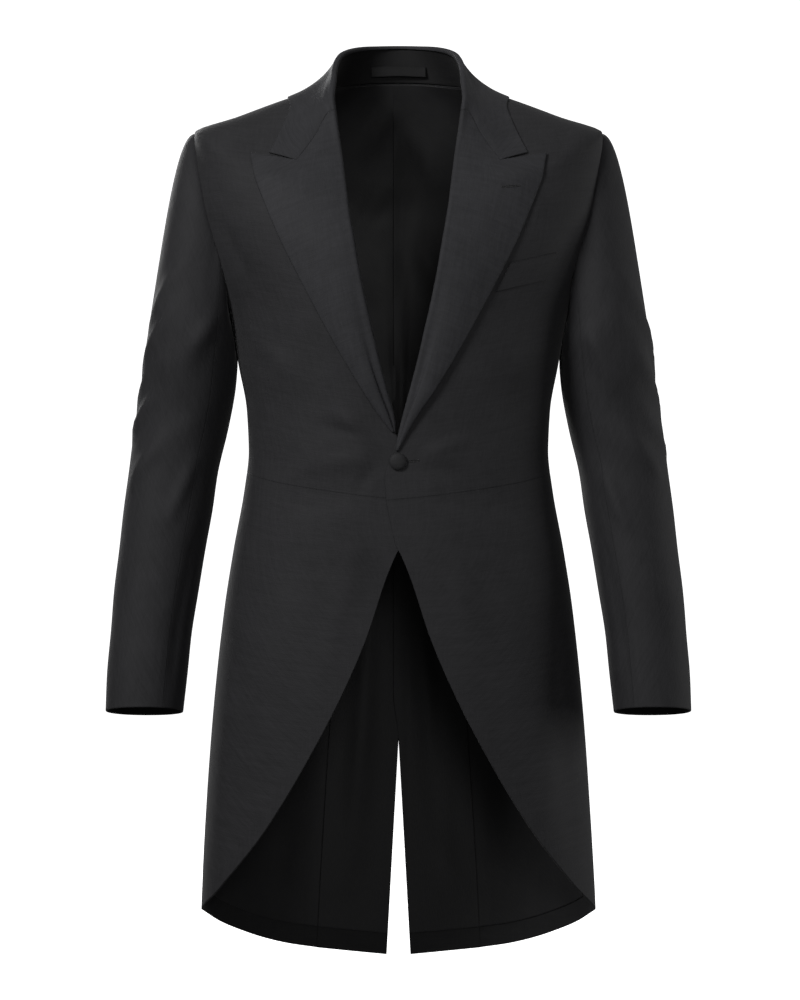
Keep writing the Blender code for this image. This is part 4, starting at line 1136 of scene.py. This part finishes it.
# Stitches
def stitch_tree(material):
    """Geometry Nodes: one short stitch after another along a line, across or along it."""
    tree = bpy.data.node_groups.new("stitch_rows", "GeometryNodeTree")
    face = tree.interface
    face.new_socket("Geometry", in_out="INPUT", socket_type="NodeSocketGeometry")
    for name, value in (("Spacing", 0.001), ("Stitch length", 0.002), ("Thread radius", 0.0003),
                        ("Unevenness", 0.15)):
        face.new_socket(name, in_out="INPUT", socket_type="NodeSocketFloat").default_value = value
    face.new_socket("Seed", in_out="INPUT", socket_type="NodeSocketInt").default_value = 3
    face.new_socket("Geometry", in_out="OUTPUT", socket_type="NodeSocketGeometry")

    def node(kind, inputs=None, **settings):
        """Add a node with its settings; inputs holds values, or the node and output to link."""
        made = tree.nodes.new(kind)
        for key, value in settings.items():
            setattr(made, key, value)
        for key, value in (inputs or {}).items():
            if isinstance(value, bpy.types.NodeSocket):
                tree.links.new(value, made.inputs[key])
            else:
                made.inputs[key].default_value = value
        return made

    given = node("NodeGroupInput").outputs
    curve = node("GeometryNodeMeshToCurve", {"Mesh": given["Geometry"]})
    spaced = node("GeometryNodeResampleCurve",
                  {"Curve": curve.outputs["Curve"], "Length": given["Spacing"]}, mode="LENGTH")
    across = node("GeometryNodeInputNamedAttribute", {"Name": "across"}, data_type="FLOAT_VECTOR")
    turned = node("FunctionNodeAlignEulerToVector", {"Vector": across.outputs["Attribute"]}, axis="X")
    ball = node("GeometryNodeMeshUVSphere", {"Segments": 6, "Rings": 5, "Radius": 1.0})
    half = node("ShaderNodeMath", {0: given["Stitch length"], 1: 0.5}, operation="MULTIPLY")
    low = node("ShaderNodeMath", {0: 1.0, 1: given["Unevenness"]}, operation="SUBTRACT")
    vary = node("FunctionNodeRandomValue", {"Min": low.outputs[0], "Seed": given["Seed"]},
                data_type="FLOAT")
    share = next(s for s in vary.outputs if s.enabled)
    longer = node("ShaderNodeMath", {0: half.outputs[0], 1: share}, operation="MULTIPLY")
    thick = given["Thread radius"]
    size = node("ShaderNodeCombineXYZ", {"X": longer.outputs[0], "Y": thick, "Z": thick})
    place = node("GeometryNodeInstanceOnPoints",
                 {"Points": spaced.outputs["Curve"], "Instance": ball.outputs["Mesh"],
                  "Rotation": turned.outputs["Rotation"], "Scale": size.outputs[0]})
    real = node("GeometryNodeRealizeInstances", {"Geometry": place.outputs["Instances"]})
    paint = node("GeometryNodeSetMaterial", {"Geometry": real.outputs["Geometry"], "Material": material})
    node("NodeGroupOutput", {"Geometry": paint.outputs["Geometry"]})
    return tree


def add_stitches(name, points, across, tree, sizes):
    """Turn a line of points into a row of stitches as plain mesh."""
    mesh = bpy.data.meshes.new(name + "_line")
    mesh.from_pydata([tuple(p) for p in points], [(i, i + 1) for i in range(len(points) - 1)], [])
    turn = mesh.attributes.new("across", "FLOAT_VECTOR", "POINT")
    turn.data.foreach_set("vector", np.asarray(across, float).ravel())
    line = placed(name + "_line", mesh)
    modifier = line.modifiers.new("stitches", "NODES")
    modifier.node_group = tree
    sockets = {s.name: s.identifier for s in tree.interface.items_tree if s.in_out == "INPUT"}
    for key, value in sizes.items():
        modifier[sockets[key]] = value
    bpy.context.view_layer.update()
    solid = bpy.data.meshes.new_from_object(line.evaluated_get(bpy.context.evaluated_depsgraph_get()))
    solid.name = name
    solid.polygons.foreach_set("use_smooth", np.ones(len(solid.polygons), bool))
    bpy.data.objects.remove(line, do_unlink=True)
    return worn(name, solid)


def on_cloth(node, x, z, lift):
    """A point on a cloth piece's outer face seen at this x and z, with its outward direction."""
    _, middle, out, thickness = MADE[node]
    near = np.linalg.norm(middle[..., [0, 2]] - (x, z), axis=-1)
    near = near + np.where(out[..., 1] > 0, 1.0, 0.0)
    i, j = np.unravel_index(near.argmin(), near.shape)
    slope = out[i, j]
    point = middle[i, j] + np.array([x - middle[i, j, 0], 0, z - middle[i, j, 2]])
    moved = slope[0] * (x - middle[i, j, 0]) + slope[2] * (z - middle[i, j, 2])
    point[1] = middle[i, j, 1] - moved / slope[1]
    return point + slope * (thickness / 2 + lift), slope


def add_buttonhole(name, node, start, end, width, tree):
    """Buttonhole: close stitches round a slit, down both lips and round both ends."""
    start, end = np.array(start, float), np.array(end, float)
    along = unit(end - start)
    beside = np.array([-along[1], along[0]])
    length = np.linalg.norm(end - start)
    points, across = [], []
    for t in np.linspace(0, 2 * math.pi, 61):
        flat = ((start + end) / 2 + along * (length / 2) * math.cos(t)
                + beside * (width / 2) * math.sin(t))
        point, _ = on_cloth(node, flat[0], flat[1], 0.00010)
        outward = along * math.cos(t) * width + beside * math.sin(t) * length
        ahead, _ = on_cloth(node, *(flat + unit(outward) * 0.001), 0.00010)
        points.append(point)
        across.append(unit(ahead - point))
    sizes = {"Spacing": 0.00055, "Stitch length": 0.0016, "Thread radius": 0.00022, "Unevenness": 0.25}
    return add_stitches(name, points, across, tree, sizes)


# Stage, light and camera
def add_area_light(name, place, target, size, energy):
    data = bpy.data.lights.new(name, "AREA")
    data.size = size
    data.energy = energy
    lamp = placed(name, data)
    lamp.location = place
    aim = mathutils.Vector(target) - mathutils.Vector(place)
    lamp.rotation_euler = aim.to_track_quat("-Z", "Y").to_euler()


def add_stage():
    """Round white floor that turns up into a white wall all round."""
    floor, reach, bend, top = -1.16, 8.0, 1.5, 6.0
    profile = [(0.0, floor), (reach - bend, floor)]
    for i in range(1, 13):
        turn = math.pi / 2 * i / 12
        profile.append((reach - bend + bend * math.sin(turn), floor + bend * (1 - math.cos(turn))))
    profile += [(reach, top), (0.0, top)]
    around = 64
    turns = [2 * math.pi * j / around for j in range(around)]
    points = [(radius * math.cos(turn), radius * math.sin(turn), height)
              for radius, height in profile for turn in turns]
    made = placed("backdrop", smooth_mesh("backdrop", points, turned_faces(len(profile), around),
                                          stage_white("backdrop_white", 1.1)))
    made.visible_diffuse = False
    made.visible_glossy = False
    made.visible_shadow = False


def add_camera():
    """Level view from the front, 4 m away, in the photograph's frame."""
    data = bpy.data.cameras.new("view")
    data.lens = 128.57
    data.sensor_width = 36.0
    data.clip_end = 20.0
    camera = placed("view", data)
    camera.location = (0.0017, -4.0, -0.4704)
    camera.rotation_euler = (math.radians(90), 0, 0)
    bpy.context.scene.camera = camera


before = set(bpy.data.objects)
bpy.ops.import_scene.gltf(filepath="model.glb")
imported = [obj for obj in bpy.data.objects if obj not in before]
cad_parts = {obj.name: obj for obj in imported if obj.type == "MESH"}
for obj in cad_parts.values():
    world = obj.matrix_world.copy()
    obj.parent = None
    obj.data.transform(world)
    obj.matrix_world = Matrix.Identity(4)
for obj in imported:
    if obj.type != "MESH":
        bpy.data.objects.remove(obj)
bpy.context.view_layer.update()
chest_wool = suiting("worsted", (0.0108, 0.0108, 0.0119, 1.0), (0.0385, 0.0380, 0.0412, 1.0))
# Painted shade: a darker copy of the worsted for the inner faces of the skirt and back, standing in for
# the shade inside the coat.
painted_shade_inside_wool = suiting("worsted_painted_shade_inside", (0.0060, 0.0060, 0.0065, 1.0), (0.0210, 0.0210, 0.0220, 1.0))
# Painted shade: a much darker copy of the worsted for the collar stand, standing in for the shade inside
# the neck.
painted_shade_neck_wool = suiting("neck_cloth", (0.0035, 0.0035, 0.0038, 1.0), (0.0115, 0.0113, 0.0120, 1.0))
lining_satin = satin("lining_satin", (0.0075, 0.0075, 0.0082, 1.0), (0.0230, 0.0228, 0.0240, 1.0))
# Painted shade: a dark copy of the worsted for the hanger loop, as dark as the shaded neck cloth around
# it.
loop_cloth = suiting("loop_cloth", (0.0040, 0.0040, 0.0043, 1.0), (0.0135, 0.0133, 0.0140, 1.0))
# Painted light: a lighter copy of the worsted for the lapels and collar leaf, standing in for the light
# they catch.
painted_light_facing_wool = suiting("facing_worsted_painted_light", (0.0135, 0.0136, 0.0152, 1.0), (0.0480, 0.0480, 0.0530, 1.0))
button_wool = suiting("button_wool", (0.0090, 0.0090, 0.0100, 1.0), (0.0320, 0.0320, 0.0340, 1.0), 0.68)
silk = thread("silk_thread", (0.0050, 0.0050, 0.0055, 1.0), (0.0160, 0.0160, 0.0170, 1.0))
for wearer_side in (1, -1):
    add_panels(wearer_side, chest_wool, painted_shade_inside_wool, lining_satin)
    add_lapel(wearer_side, painted_light_facing_wool)
    add_sleeve(wearer_side, chest_wool, lining_satin)
add_collar(painted_light_facing_wool, painted_shade_neck_wool, loop_cloth)
add_welt(chest_wool)
add_button(button_wool)
stitches = stitch_tree(silk)
lapel_hole = add_buttonhole("lapel_buttonhole", "lapel_left", (0.1120, -0.1297), (0.1330, -0.1277),
                            0.0018, stitches)
front_hole = add_buttonhole("front_buttonhole", "front_left", (0.0085, -0.4283), (0.0225, -0.4278),
                            0.0020, stitches)

add_stage()
add_area_light("key", (-2.0, -2.3, 1.35), (0.0, 0.0, -0.25), 1.1, 63.0)
add_area_light("front", (0.3, -3.7, 0.1), (0.0, 0.0, -0.45), 0.7, 18.0)
add_area_light("right", (2.6, 0.5, -0.3), (0.0, 0.0, -0.60), 1.2, 16.0)
add_area_light("top", (0.0, 0.4, 1.9), (0.0, 0.0, -0.2), 1.0, 4.0)
add_area_light("back", (-1.6, 3.2, 0.9), (0.0, 0.1, -0.5), 1.4, 60.0)
world = bpy.data.worlds.new("studio")
world.use_nodes = True
world.node_tree.nodes["Background"].inputs["Color"].default_value = (1.0, 1.0, 1.0, 1.0)
world.node_tree.nodes["Background"].inputs["Strength"].default_value = 0.08
bpy.context.scene.world = world
bpy.context.scene.view_settings.view_transform = "Standard"
add_camera()
